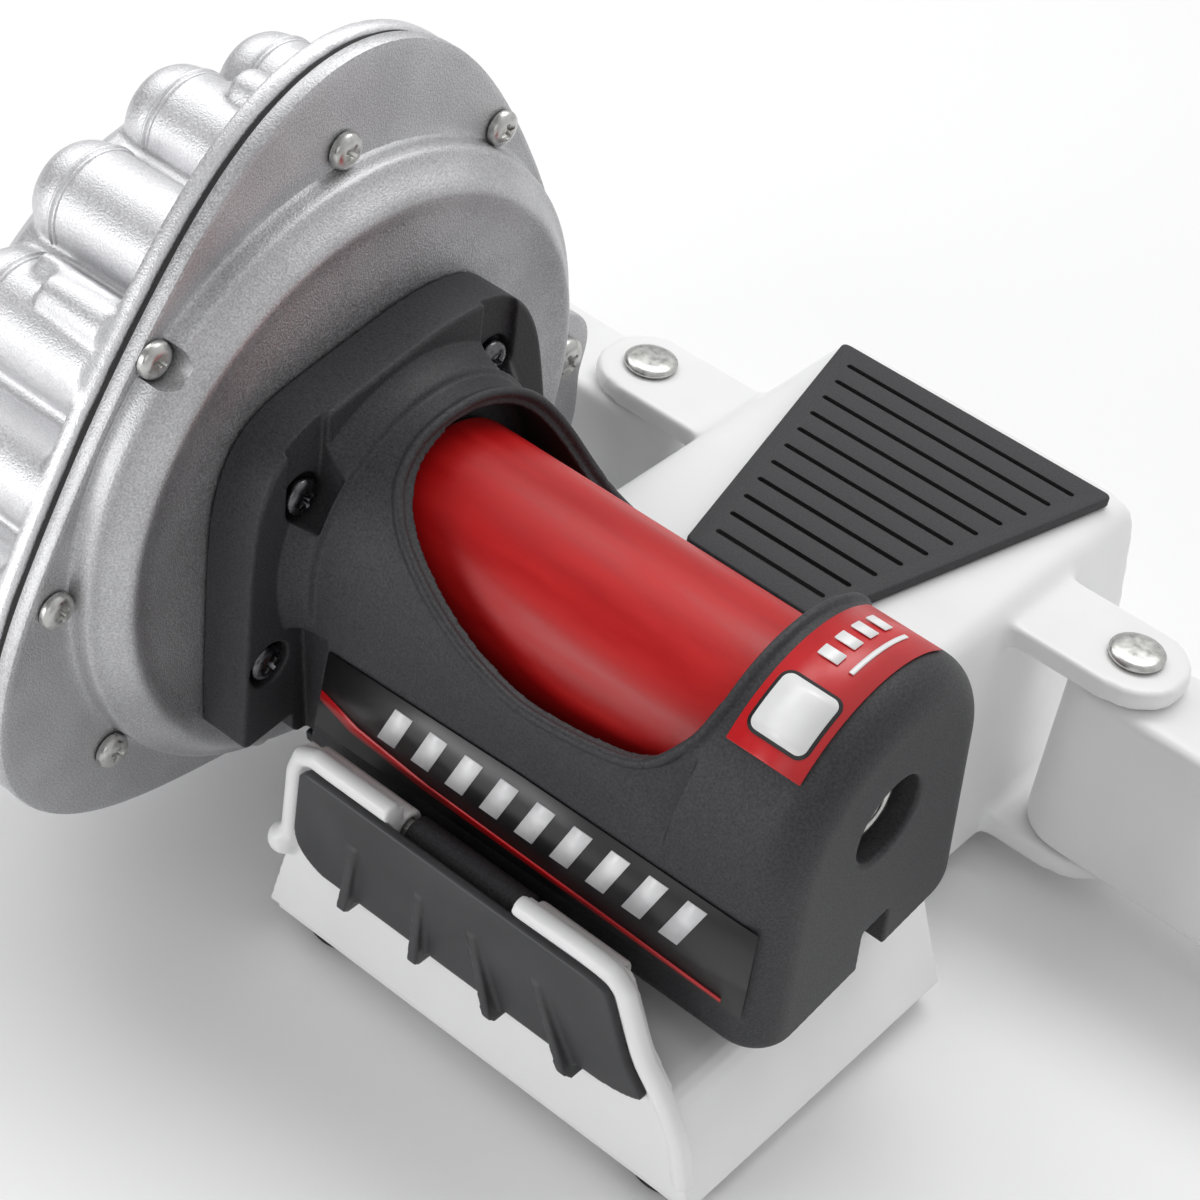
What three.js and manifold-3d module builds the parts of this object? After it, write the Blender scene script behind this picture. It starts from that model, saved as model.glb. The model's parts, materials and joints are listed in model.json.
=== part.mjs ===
// Roller resistance unit of a wheel-on bicycle trainer, on the middle section of its stand.
// Millimetres, +Z up. X runs along the roller from the fluid chamber to the free end,
// and Y from the hinge side to the tread pad.
import * as THREE from 'three';
import { mergeVertices } from 'three/addons/utils/BufferGeometryUtils.js';
import Module from 'manifold-3d';

const wasm = await Module();
wasm.setup();

// Shared clearances and overruns.
const seatGap = 0.3;
const runGap = 1.2;
const overrun = 2;
const roundSegments = 32;
const cornerSteps = 3;
const smallSegments = 10;

// Driving dimensions of the running gear.
const rollerRadius = 22.5;
const rollerWindowLength = 81;
const rollerEndCover = 3;
const axisHeight = 82;
const restTiltDegrees = 8;

// Chamber: cover, gasket and finned body.
const lobeHeight = 21.5;
const lobeAngles = [81, 200, 324];
const lobeWidths = [33, 31, 24];
const coverFlangeThickness = 3.6;
const gasketThickness = 0.8;
const bodyFlangeThickness = 4.3;
const stepTwoRadius = 61.2;
const stepLedge = 5.8;
const stepOneRadius = stepTwoRadius + stepLedge;
const stepOneHeight = 4.6;
const flangeLedge = 1.3;
const chamberRadius = stepOneRadius + flangeLedge;
const stepTwoHeight = 9.6;
const coverFaceDish = 1.2;
const stepDraft = 1.6;
const coverWall = 3;
const boltLedge = 4.2;
const chamberBoltRadius = stepOneRadius + boltLedge;
const boltEdge = 3.2;
const chamberBoltAngles = [85.6, 47.5, 129.2, 171.7, 210.2, 250, 289];
const earBoltAngle = 343.6;
const earLedge = 2;
const earBoltRadius = chamberBoltRadius + earLedge;
const earRadius = 9.5;
const bodyDepth = 40;
const bodyWall = 4;
const petalCount = 16;
const petalRadius = 11.4;
const petalInset = 0.7;
const petalRing = stepTwoRadius - petalInset;
const bossRadius = 5;
const bossDepth = 16;

// Roller housing, one moulding with its screwed flange.
const flangeFrontStation = 20;
const flangeHalfWidth = 41;
const flangeTop = 37.3;
const flangeBottom = 36;
const flangeSkirt = 4;
const flangeBevel = 1.6;
const collarRadius = 34.5;
const collarEnd = 30;
const archRadius = 30.3;
const housingBottomHalfWidth = 32;
const housingBottom = 42;
const housingEnd = 136.6;
const housingEndFillet = 8;
const housingCorner = 3;
const housingWall = 3.2;
const endHoleRadius = 9.2;
const notchWidth = 8;
const notchHeight = 11;
const notchDepth = 7;
const notchOffset = 2;

// Shaft, bearings, seal and impeller.
const shaftRadius = 5;
const bearingRadius = 13;
const bearingWidth = 8;
const sealWidth = 5;
const hubWall = 4;
const impellerRoom = 8.2;
const impellerRadius = stepTwoRadius - coverWall - impellerRoom;
const impellerVanes = 8;

// Screws.
const coverScrewHead = 3.7;
const coverScrewHeadHeight = 2.4;
const coverScrewShank = 1.9;
const flangeScrewHead = 4;
const earScrewHead = 5;
const recessDepthShare = 0.55;

// Stand section.
const hingeY = -33;
const hingeZ = -39;
const hingePinRadius = 2;
const knuckleRadius = 3.8;
const knuckleWall = knuckleRadius - hingePinRadius;
const footHeight = 3.4;
const plateThickness = 2;
const shellWall = 3.5;
const deckTop = -54;
const deckTopFrom = 33;
const deckTopTo = 127;
const deckSideDraft = 4;
const deckFlare = 10;
const deckFrontY = -38.5;
const deckBackY = 44;
const knuckleSlotFrom = 57;
const knuckleSlotTo = 88;
const rimRadius = 2.2;
const rimZ = -31.6;
const rimCornerRadius = 3;
const rimLeftDrop = 25;
const rimEarRadius = 3.6;
const rimFlareFrom = 109;
const rimFlareWidth = 25.5;
const rimFlareDrop = 38.4;
const apronThickness = 2.2;
const apronHeight = 22.7;
const apronCorner = 8;
const gussetHeight = 15;
const gussetDepth = 3;
const gussetDrop = 2;
const padTop = -15;
const padThickness = 2.6;
const padFarY = 132;
const padNearY = 50;
const padFarWidth = 73;
const padNearWidth = 33;
const padCentre = 70;
const padGrooves = 11;
const padGrooveWidth = 1.5;
const padGrooveDepth = 1;
const tongueMargin = 5.5;
const tongueTopHalf = 40;
const tongueBottomHalf = 48;
const tongueCorner = 6;
const legPivotY = 99;
const legPivotReach = 64;
const legLength = 100;
const legHalfWidth = 12;
const legTipShare = 1.15;
const legRound = 2;
const lugThickness = 5;
const lugTop = -22;
const legPinRadius = 4;

// Colours read from the real finishes.
const paint = {
  castAluminium: { color: 0xb9b9bb, roughness: 0.45, metalness: 0.9 },
  darkPlastic: { color: 0x2c2c2e, roughness: 0.7, metalness: 0 },
  redElastomer: { color: 0xb3191a, roughness: 0.45, metalness: 0 },
  whitePlastic: { color: 0xf0f0f0, roughness: 0.35, metalness: 0 },
  zincSteel: { color: 0xc8c8c6, roughness: 0.3, metalness: 1 },
  darkSteel: { color: 0x6b6b6e, roughness: 0.35, metalness: 1 },
  rubber: { color: 0x242425, roughness: 0.9, metalness: 0 },
  padRubber: { color: 0x3c3c3e, roughness: 0.85, metalness: 0 },
  blackFilm: { color: 0x141416, roughness: 0.2, metalness: 0 },
  redFilm: { color: 0xc4161c, roughness: 0.25, metalness: 0 },
};

// Stations along the roller, worked out from the sizes above.
const coverBack = -coverFlangeThickness;
const gasketFront = coverBack - seatGap;
const gasketBack = gasketFront - gasketThickness;
const bodyFront = gasketBack - seatGap;
const bodyFlangeBack = bodyFront - bodyFlangeThickness;
const bodyRear = bodyFlangeBack - bodyDepth;
const coverFace = stepTwoHeight - coverFaceDish;
const coverInside = coverFace - coverWall;
const housingBack = coverFace + seatGap;
const hubFront = coverFace + hubWall;
const farBearingEnd = hubFront - hubWall / 2;
const farBearingStart = farBearingEnd - bearingWidth;
const sealEnd = farBearingStart - seatGap;
const sealStart = sealEnd - sealWidth;
const windowFrom = collarEnd;
const windowTo = windowFrom + rollerWindowLength;
const sleeveFrom = windowFrom - rollerEndCover;
const sleeveTo = windowTo + rollerEndCover;
const bayFrom = sleeveFrom - runGap;
const bayTo = sleeveTo + runGap;
const nearBearingStart = bayTo + overrun;
const nearBearingEnd = nearBearingStart + bearingWidth;
const nutStart = nearBearingEnd + seatGap;
const nutEnd = housingEnd - hubWall;

// Heights of the stand.
const floorZ = -axisHeight;
const plateBottom = floorZ + footHeight + seatGap;
const plateTop = plateBottom + plateThickness;
const shellBottom = plateTop + seatGap;
const tongueTop = padTop - padThickness - seatGap;

// Shape and solid helpers.

// Turns a closed three.js geometry into a solid, with shared corners merged.
function solid(geometry) {
  const bare = new THREE.BufferGeometry();
  bare.setAttribute('position', geometry.getAttribute('position').clone());
  if (geometry.index) {
    bare.setIndex(geometry.index.clone());
  }
  const merged = mergeVertices(bare);
  const corners = merged.index.array;
  const kept = [];
  for (let i = 0; i < corners.length; i += 3) {
    const [a, b, c] = [corners[i], corners[i + 1], corners[i + 2]];
    if (a !== b && b !== c && c !== a) {
      kept.push(a, b, c);
    }
  }
  return new wasm.Manifold(new wasm.Mesh({
    numProp: 3,
    vertProperties: new Float32Array(merged.getAttribute('position').array),
    triVerts: new Uint32Array(kept),
  }));
}

// Moves a geometry with a basis and an origin, so that a flat shape can face any way.
function placed(geometry, right, up, forward, origin) {
  const matrix = new THREE.Matrix4().makeBasis(right, up, forward).setPosition(origin);
  return geometry.applyMatrix4(matrix);
}

const axisX = new THREE.Vector3(1, 0, 0);
const axisY = new THREE.Vector3(0, 1, 0);
const axisZ = new THREE.Vector3(0, 0, 1);
const backY = new THREE.Vector3(0, -1, 0);

// A YZ outline pushed along X, with a round bevel at both ends if a size is given.
function alongX(shape, from, to, bevel = 0, steps = 3) {
  const geometry = new THREE.ExtrudeGeometry(shape, {
    depth: to - from - 2 * bevel,
    curveSegments: roundSegments * 3 / 4,
    bevelEnabled: bevel > 0,
    bevelSize: bevel,
    bevelThickness: bevel,
    bevelOffset: -bevel,
    bevelSegments: steps,
  });
  return solid(placed(geometry, axisY, axisZ, axisX, new THREE.Vector3(from + bevel, 0, 0)));
}

// An XZ outline pushed along Y.
function alongY(shape, from, to) {
  const geometry = new THREE.ExtrudeGeometry(shape, {
    depth: to - from,
    curveSegments: smallSegments,
    bevelEnabled: false,
  });
  return solid(placed(geometry, axisX, axisZ, backY, new THREE.Vector3(0, to, 0)));
}

// An XY outline pushed along Z, with a round bevel at both ends if a size is given.
function alongZ(shape, from, to, bevel = 0) {
  const geometry = new THREE.ExtrudeGeometry(shape, {
    depth: to - from - 2 * bevel,
    curveSegments: smallSegments,
    bevelEnabled: bevel > 0,
    bevelSize: bevel,
    bevelThickness: bevel,
    bevelOffset: -bevel,
    bevelSegments: 2,
  });
  return solid(placed(geometry, axisX, axisY, axisZ, new THREE.Vector3(0, 0, from + bevel)));
}

// A profile of [station, radius] pairs turned about the X axis.
function turned(profile, segments = roundSegments) {
  const points = profile.map(([station, radius]) => new THREE.Vector2(radius, station));
  const geometry = new THREE.LatheGeometry(points, segments);
  return solid(placed(geometry, axisZ, axisX, axisY, new THREE.Vector3(0, 0, 0)));
}

// A round bar along X, about a given centre line.
function barX(radius, from, to, y = 0, z = 0, segments = smallSegments) {
  const profile = [[from, 0], [from, radius], [to, radius], [to, 0]];
  return turned(profile, segments).translate([0, y, z]);
}

// A flat ring along X.
function ringX(inner, outer, from, to, segments = roundSegments) {
  return turned([[from, inner], [from, outer], [to, outer], [to, inner], [from, inner]], segments);
}

// A round bar along Z.
function barZ(radius, from, to, x, y, segments = smallSegments) {
  const geometry = new THREE.CylinderGeometry(radius, radius, to - from, segments);
  return solid(geometry).rotate([90, 0, 0]).translate([x, y, (from + to) / 2]);
}

// A box given by its lowest and highest corners.
function box(x0, x1, y0, y1, z0, z1) {
  const geometry = new THREE.BoxGeometry(x1 - x0, y1 - y0, z1 - z0);
  return solid(geometry).translate([(x0 + x1) / 2, (y0 + y1) / 2, (z0 + z1) / 2]);
}

// An outline through points, with each corner rounded by its own radius.
function roundedShape(points) {
  const shape = new THREE.Shape();
  points.forEach(([x, y, radius], i) => {
    const corner = new THREE.Vector2(x, y);
    const before = new THREE.Vector2(...points[(i + points.length - 1) % points.length]);
    const after = new THREE.Vector2(...points[(i + 1) % points.length]);
    const toBefore = before.sub(corner).normalize();
    const toAfter = after.sub(corner).normalize();
    const start = corner.clone().addScaledVector(toBefore, radius);
    const end = corner.clone().addScaledVector(toAfter, radius);
    if (i === 0) {
      shape.moveTo(start.x, start.y);
    } else {
      shape.lineTo(start.x, start.y);
    }
    if (radius > 0) {
      const bend = new THREE.QuadraticBezierCurve(start, corner, end);
      bend.getPoints(cornerSteps).slice(1).forEach((point) => shape.lineTo(point.x, point.y));
    }
  });
  shape.closePath();
  return shape;
}

function radians(degrees) {
  return degrees * Math.PI / 180;
}

// A point in the YZ plane at an angle about the roller axis.
function polar(radius, degrees) {
  return [radius * Math.cos(radians(degrees)), radius * Math.sin(radians(degrees))];
}

// Wraps a solid as a named mesh with its own material.
function piece(name, body, finish, parent) {
  const result = body.getMesh();
  const geometry = new THREE.BufferGeometry();
  geometry.setAttribute('position', new THREE.BufferAttribute(new Float32Array(result.vertProperties), 3));
  geometry.setIndex(new THREE.BufferAttribute(new Uint32Array(result.triVerts), 1));
  geometry.computeVertexNormals();
  const mesh = new THREE.Mesh(geometry, new THREE.MeshStandardMaterial(finish));
  mesh.name = name;
  parent.add(mesh);
  return mesh;
}

const stand = new THREE.Group();
const unit = new THREE.Group();
unit.rotation.x = radians(restTiltDegrees);
stand.add(unit);

// Radius of the chamber's outline at an angle: a circle that swells into three rounded lobes.
function lobeRadius(angle) {
  let radius = chamberRadius;
  lobeAngles.forEach((centre, k) => {
    const away = ((angle - centre + 540) % 360) - 180;
    radius += lobeHeight * Math.exp(-((away / lobeWidths[k]) ** 2));
  });
  return radius;
}

function lobeOutline() {
  const shape = new THREE.Shape();
  const steps = 2 * roundSegments;
  for (let i = 0; i < steps; i += 1) {
    const angle = i * 360 / steps;
    const [y, z] = polar(lobeRadius(angle), angle);
    if (i === 0) {
      shape.moveTo(y, z);
    } else {
      shape.lineTo(y, z);
    }
  }
  shape.closePath();
  return shape;
}

// The lobed plate with the ear that carries the larger screw.
function lobePlate(from, to, bevel) {
  const [earY, earZ] = polar(earBoltRadius, earBoltAngle);
  const ear = barX(earRadius, from, to, earY, earZ, 2 * smallSegments);
  return alongX(lobeOutline(), from, to, bevel, 1).add(ear);
}

// Between the lobes the bolts step inwards, so that each keeps its distance from the edge.
const chamberBolts = chamberBoltAngles.map((angle) => {
  const radius = Math.min(chamberBoltRadius, lobeRadius(angle) - boltEdge);
  return polar(radius, angle);
});
const boltPlaces = [...chamberBolts, polar(earBoltRadius, earBoltAngle)];

// Drills the ring of chamber screw holes through a plate.
function drilled(body, radius, from, to) {
  let result = body;
  for (const [y, z] of boltPlaces) {
    result = result.subtract(barX(radius, from, to, y, z));
  }
  return result;
}

const screwHole = coverScrewShank + seatGap;

// Positions of the four screws that hold the housing flange.
const flangeUpperScrew = [26, 19];
const flangeLowerScrew = [37, -17];
const flangeScrews = [flangeUpperScrew, flangeLowerScrew].flatMap(([y, z]) => [[y, z], [-y, z]]);
const pocketRadius = flangeScrewHead + 1.2 * seatGap;
const pocketFloor = flangeFrontStation - coverScrewHeadHeight;
const flangeScrewTip = coverFace - 2 * coverWall;

function chamberCover() {
  const dome = turned([
    [coverBack, 0],
    [coverBack, stepOneRadius],
    [0, stepOneRadius],
    [stepOneHeight - stepDraft / 2, stepOneRadius - stepDraft / 4],
    [stepOneHeight, stepOneRadius - stepDraft],
    [stepOneHeight + stepDraft / 2, stepTwoRadius + stepDraft],
    [stepTwoHeight - stepDraft / 2, stepTwoRadius + stepDraft / 4],
    [stepTwoHeight, stepTwoRadius - stepDraft],
    [coverFace, stepTwoRadius - 4 * stepDraft],
    [coverFace, 0],
  ], 1.5 * roundSegments);
  const hollow = turned([
    [coverBack - overrun, 0],
    [coverBack - overrun, stepTwoRadius - coverWall],
    [coverInside, stepTwoRadius - coverWall],
    [coverInside, 0],
  ]);
  let cover = lobePlate(coverBack, 0, stepDraft / 2).add(dome).subtract(hollow);
  for (const [y, z] of flangeScrews) {
    cover = cover.add(barX(bossRadius, flangeScrewTip - coverWall / 2, coverFace, y, z));
    cover = cover.subtract(barX(screwHole, flangeScrewTip - seatGap, coverFace + overrun, y, z));
  }
  const hub = bearingRadius + hubWall;
  cover = cover.add(barX(hub, sealStart, hubFront, 0, 0, roundSegments));
  cover = cover.subtract(barX(bearingRadius, sealStart - overrun, farBearingEnd, 0, 0, roundSegments));
  const shoulderBore = bearingRadius - hubWall;
  cover = cover.subtract(barX(shoulderBore, sealStart, hubFront + overrun, 0, 0, roundSegments));
  for (const [y, z] of chamberBolts) {
    cover = cover.subtract(barX(coverScrewHead + seatGap, 0, stepOneHeight + overrun, y, z, 2 * smallSegments));
  }
  return drilled(cover, screwHole, coverBack - overrun, overrun);
}
piece('chamber_cover', chamberCover(), paint.castAluminium, unit);

function chamberGasket() {
  const inner = stepTwoRadius - coverWall;
  const plate = lobePlate(gasketBack, gasketFront, 0);
  const bore = barX(inner, gasketBack - overrun, gasketFront + overrun, 0, 0, roundSegments);
  const opened = plate.subtract(bore);
  return drilled(opened, screwHole, gasketBack - overrun, overrun);
}
piece('chamber_gasket', chamberGasket(), paint.rubber, unit);

// The rear casting: a drum ringed with rounded cooling petals and screw bosses.
function chamberBody() {
  const drumRadius = petalRing + bodyWall / 2;
  const rearRound = petalRadius / 2;
  let body = turned([
    [bodyRear, 0],
    [bodyRear, drumRadius - 2 * rearRound],
    [bodyRear + rearRound / 2, drumRadius - rearRound / 2],
    [bodyRear + rearRound, drumRadius],
    [bodyFlangeBack, drumRadius],
    [bodyFront, drumRadius],
    [bodyFront, 0],
  ]);
  body = body.add(lobePlate(bodyFlangeBack, bodyFront, stepDraft / 2));
  const petalRear = bodyRear + rearRound;
  for (let i = 0; i < petalCount; i += 1) {
    const [y, z] = polar(petalRing, i * 360 / petalCount);
    const petal = turned([
      [petalRear, 0],
      [petalRear, petalRadius * 0.6],
      [petalRear + petalRadius * 0.5, petalRadius],
      [bodyFlangeBack + overrun, petalRadius],
      [bodyFlangeBack + overrun, 0],
    ], 14);
    body = body.add(petal.translate([0, y, z]));
  }
  for (const [y, z] of boltPlaces) {
    body = body.add(barX(bossRadius, bodyFlangeBack - bossDepth, bodyFlangeBack + overrun, y, z));
  }
  const hollowRadius = stepTwoRadius - coverWall;
  body = body.subtract(barX(hollowRadius, bodyRear + bodyWall, bodyFront + overrun, 0, 0, roundSegments));
  const [plugY, plugZ] = polar(plugRing, plugAngle);
  const plugHole = plugShank + seatGap;
  body = body.subtract(barX(plugHole, bodyRear - overrun, bodyRear + bodyWall + overrun, plugY, plugZ));
  return drilled(body, screwHole, bodyFlangeBack - bossDepth / 2, bodyFront + overrun);
}

// Filler plug on the back of the chamber: hexagon head on a threaded stub.
const plugRing = 38;
const plugAngle = 90;
const plugHead = 8;
const plugHeadHeight = 5;
const plugShank = 5;

piece('chamber_body', chamberBody(), paint.castAluminium, unit);

function fillerPlug() {
  const headBack = bodyRear - seatGap - plugHeadHeight;
  const head = barX(plugHead, headBack, bodyRear - seatGap, 0, 0, 6);
  const stub = barX(plugShank, bodyRear - seatGap * 2, bodyRear + bodyWall);
  return head.add(stub).translate([0, ...polar(plugRing, plugAngle)]);
}
piece('filler_plug', fillerPlug(), paint.zincSteel, unit);

// A cross-recessed pan-head screw, head towards +X and its seat at station zero.
function panScrew(headRadius, headHeight, shankRadius, length) {
  const crown = headHeight / 3;
  const body = turned([
    [-length, 0],
    [-length, shankRadius],
    [0, shankRadius],
    [0, headRadius],
    [headHeight - 2 * crown, headRadius],
    [headHeight, headRadius * 0.6],
    [headHeight, 0],
  ], smallSegments);
  const arm = headRadius * recessDepthShare;
  const slot = headRadius / 7;
  const floor = headHeight * (1 - recessDepthShare);
  const across = box(floor, headHeight + overrun, -arm, arm, -slot, slot);
  const upright = box(floor, headHeight + overrun, -slot, slot, -arm, arm);
  return body.subtract(across).subtract(upright);
}

const coverScrewLength = -bodyFlangeBack + bossDepth / 3;
const coverScrew = panScrew(coverScrewHead, coverScrewHeadHeight, coverScrewShank, coverScrewLength);
chamberBolts.forEach(([y, z], i) => {
  const turnedScrew = coverScrew.rotate([chamberBoltAngles[i], 0, 0]);
  piece(`chamber_screw_${i + 1}`, turnedScrew.translate([seatGap, y, z]), paint.zincSteel, unit);
});
const earScrew = panScrew(earScrewHead, coverScrewHeadHeight * 1.3, coverScrewShank, coverScrewLength);
const earPlace = polar(earBoltRadius, earBoltAngle);
piece('ear_screw', earScrew.translate([seatGap, ...earPlace]), paint.zincSteel, unit);

// Section of the roller housing: a round arch on slightly flared sides. It runs lower than the
// finished housing, so that the end fillet reaches the bottom edge before the section is cut there.
function archShape() {
  const shape = new THREE.Shape();
  const deep = -housingBottom - 2 * housingEndFillet;
  const slope = (housingBottomHalfWidth - archRadius) / housingBottom;
  const half = archRadius - slope * deep;
  const chamfer = 1.5 * housingEndFillet;
  shape.moveTo(half - chamfer, deep);
  shape.lineTo(half, deep + chamfer);
  shape.lineTo(archRadius, 0);
  shape.absarc(0, 0, archRadius, 0, Math.PI, false);
  shape.lineTo(-half, deep + chamfer);
  shape.lineTo(-half + chamfer, deep);
  shape.closePath();
  return shape;
}

// Window rims seen from the side, as shares of the window's length and of the arch's height. The
// rim on the pad's side hangs lower, behind the roller.
const nearRimShares = [
  [0.02, 1], [0.025, 0.95], [0.05, 0.855], [0.09, 0.76], [0.155, 0.645], [0.3, 0.45], [0.44, 0.31],
  [0.6, 0.245], [0.86, 0.36], [0.97, 0.62], [1, 0.84],
];
const farRimShares = [
  [0.02, 1], [0.03, 0.85], [0.06, 0.45], [0.15, 0.08], [0.3, -0.13], [0.6, -0.2], [0.86, -0.06],
  [0.97, 0.4], [1, 0.84],
];

function windowShape(rimShares) {
  const at = ([along, up]) => new THREE.Vector2(windowFrom + along * rollerWindowLength, up * archRadius);
  const points = rimShares.map(at);
  const high = archRadius + flangeTop;
  const shape = new THREE.Shape();
  shape.moveTo(points[0].x, high);
  shape.lineTo(points[0].x, points[0].y);
  shape.splineThru(points.slice(1));
  shape.lineTo(points[points.length - 1].x, high);
  shape.closePath();
  return shape;
}

// Outline of the screwed flange: an arched plate with cut corners on a wider skirt.
const flangeRound = 5;
const flangeShoulderInset = 1.5;
const flangeShoulderHeight = 18;
const flangeCrownInset = 11;
const flangeCrownDrop = 4;
const flangeCapInset = 24;

function flangeShape() {
  const side = [
    [flangeHalfWidth + flangeSkirt, -flangeBottom, flangeRound],
    [flangeHalfWidth, 0, flangeRound],
    [flangeHalfWidth - flangeShoulderInset, flangeShoulderHeight, flangeRound],
    [flangeHalfWidth - flangeCrownInset, flangeTop - flangeCrownDrop, flangeRound],
    [flangeHalfWidth - flangeCapInset, flangeTop, flangeRound],
  ];
  const mirrored = side.map(([y, z, round]) => [-y, z, round]).reverse();
  return roundedShape([...side, ...mirrored]);
}

function rollerHousing() {
  let body = alongX(archShape(), 0, housingEnd, housingEndFillet, 4);
  body = body.add(alongX(flangeShape(), housingBack - flangeBevel, flangeFrontStation, flangeBevel, 1));
  const collarStep = (collarRadius - archRadius) / 3;
  body = body.add(turned([
    [housingBack, 0],
    [housingBack, collarRadius],
    [flangeFrontStation, collarRadius],
    [flangeFrontStation + collarStep, collarRadius - collarStep],
    [collarEnd - 2 * collarStep, archRadius + collarStep],
    [collarEnd, archRadius],
    [collarEnd, 0],
  ]));
  const wide = 2 * (flangeHalfWidth + flangeSkirt);
  body = body.subtract(box(-flangeFrontStation, housingBack, -wide, wide, -wide, wide));
  body = body.subtract(box(-overrun, housingEnd + overrun, -wide, wide, -wide, -housingBottom));
  const bayRadius = rollerRadius + runGap;
  body = body.subtract(barX(bayRadius, bayFrom, bayTo, 0, 0, roundSegments));
  body = body.subtract(alongY(windowShape(nearRimShares), -wide, overrun));
  body = body.subtract(alongY(windowShape(farRimShares), 0, wide));
  const inside = housingBottomHalfWidth - housingWall - housingWall / 2;
  const under = box(bayFrom, bayTo, -inside, inside, -housingBottom - overrun, -rollerRadius / 2);
  const bay = under.subtract(box(bayFrom - overrun, bayTo + overrun, -inside - overrun,
    -archRadius + housingWall, -housingBottom / 2, 0));
  body = body.subtract(bay);
  const hub = bearingRadius + hubWall + seatGap;
  body = body.subtract(barX(hub, housingBack - overrun, hubFront + seatGap, 0, 0, roundSegments));
  body = body.subtract(barX(bearingRadius - hubWall, housingBack, bayTo, 0, 0, roundSegments));
  body = body.subtract(barX(bearingRadius, bayTo - overrun, nearBearingEnd, 0, 0, roundSegments));
  const endFrom = nearBearingEnd - overrun;
  body = body.subtract(barX(endHoleRadius, endFrom, housingEnd + overrun, 0, 0, roundSegments));
  for (const [y, z] of flangeScrews) {
    body = body.subtract(barX(pocketRadius, pocketFloor, flangeFrontStation + collarEnd, y, z, 16));
    body = body.subtract(barX(screwHole, housingBack - overrun, flangeFrontStation, y, z));
  }
  const notchFloor = -housingBottom + notchHeight;
  const notchSide = notchWidth / 2;
  body = body.subtract(box(housingEnd - notchDepth, housingEnd + overrun, notchOffset - notchSide,
    notchOffset + notchSide, -housingBottom - overrun, notchFloor));
  return body;
}
piece('roller_housing', rollerHousing(), paint.darkPlastic, unit);

const flangeScrewLength = pocketFloor - flangeScrewTip;
const flangeScrew = panScrew(flangeScrewHead, coverScrewHeadHeight, coverScrewShank, flangeScrewLength);
flangeScrews.forEach(([y, z], i) => {
  const spun = flangeScrew.rotate([(i + 1) * 25, 0, 0]);
  piece(`flange_screw_${i + 1}`, spun.translate([pocketFloor + seatGap, y, z]), paint.darkSteel, unit);
});

// The rotor: steel shaft, impeller, roller core, bonded elastomer sleeve and end nut.
const rotor = new THREE.Group();
unit.add(rotor);
const coreRadius = rollerRadius - 4;
const impellerFront = sealStart - runGap;
const impellerRear = bodyRear + bodyWall + 3 * runGap;
const shaftEnd = nutEnd + seatGap;

function shaft() {
  return barX(shaftRadius, impellerRear + runGap, shaftEnd, 0, 0, 24);
}
piece('shaft', shaft(), paint.zincSteel, rotor);

const bore = shaftRadius + seatGap;

function impeller() {
  const hub = 2 * shaftRadius;
  const middle = (impellerFront + impellerRear) / 2;
  const web = coverWall / 2;
  let wheel = barX(hub, impellerRear, impellerFront, 0, 0, 24);
  wheel = wheel.add(barX(impellerRadius, middle - web, middle + web, 0, 0, roundSegments));
  for (let i = 0; i < impellerVanes; i += 1) {
    const vaneTip = impellerRadius - overrun;
    const vane = box(impellerRear, impellerFront - overrun, hub / 2, vaneTip, -web / 2, web / 2);
    wheel = wheel.add(vane.rotate([i * 360 / impellerVanes, 0, 0]));
  }
  return wheel.subtract(barX(bore, impellerRear - overrun, impellerFront + overrun, 0, 0, 24));
}
piece('impeller', impeller(), paint.castAluminium, rotor);

piece('roller_core', ringX(bore, coreRadius, sleeveFrom, sleeveTo), paint.castAluminium, rotor);

// The sleeve has slightly rounded shoulders.
function rollerSleeve() {
  const inner = coreRadius + seatGap;
  const round = rollerEndCover / 3;
  return turned([
    [sleeveFrom, inner],
    [sleeveFrom, rollerRadius - round],
    [sleeveFrom + round, rollerRadius],
    [sleeveTo - round, rollerRadius],
    [sleeveTo, rollerRadius - round],
    [sleeveTo, inner],
    [sleeveFrom, inner],
  ], 1.5 * roundSegments);
}
piece('roller_sleeve', rollerSleeve(), paint.redElastomer, rotor);

function shaftNut() {
  const nut = barX(endHoleRadius - runGap, nutStart + seatGap, nutEnd, 0, 0, 6);
  return nut.subtract(barX(bore, nutStart - overrun, nutEnd + overrun, 0, 0, 24));
}
piece('shaft_nut', shaftNut(), paint.zincSteel, rotor);

// Each ball bearing: an outer ring in its seat, an inner ring on the shaft, balls in a cage between.
const raceGap = seatGap;
const innerRingOuter = bore + (bearingRadius - bore) * 0.3;
const outerRingInner = bore + (bearingRadius - bore) * 0.68;

function ballRing(centre) {
  const middle = (innerRingOuter + outerRingInner) / 2;
  const half = (outerRingInner - innerRingOuter) / 2 - raceGap;
  const wide = 2 * half;
  return turned([
    [centre - wide, middle - half / 2],
    [centre - wide, middle + half / 2],
    [centre - wide / 2, middle + half],
    [centre + wide / 2, middle + half],
    [centre + wide, middle + half / 2],
    [centre + wide, middle - half / 2],
    [centre + wide / 2, middle - half],
    [centre - wide / 2, middle - half],
    [centre - wide, middle - half / 2],
  ], 24);
}

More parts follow.
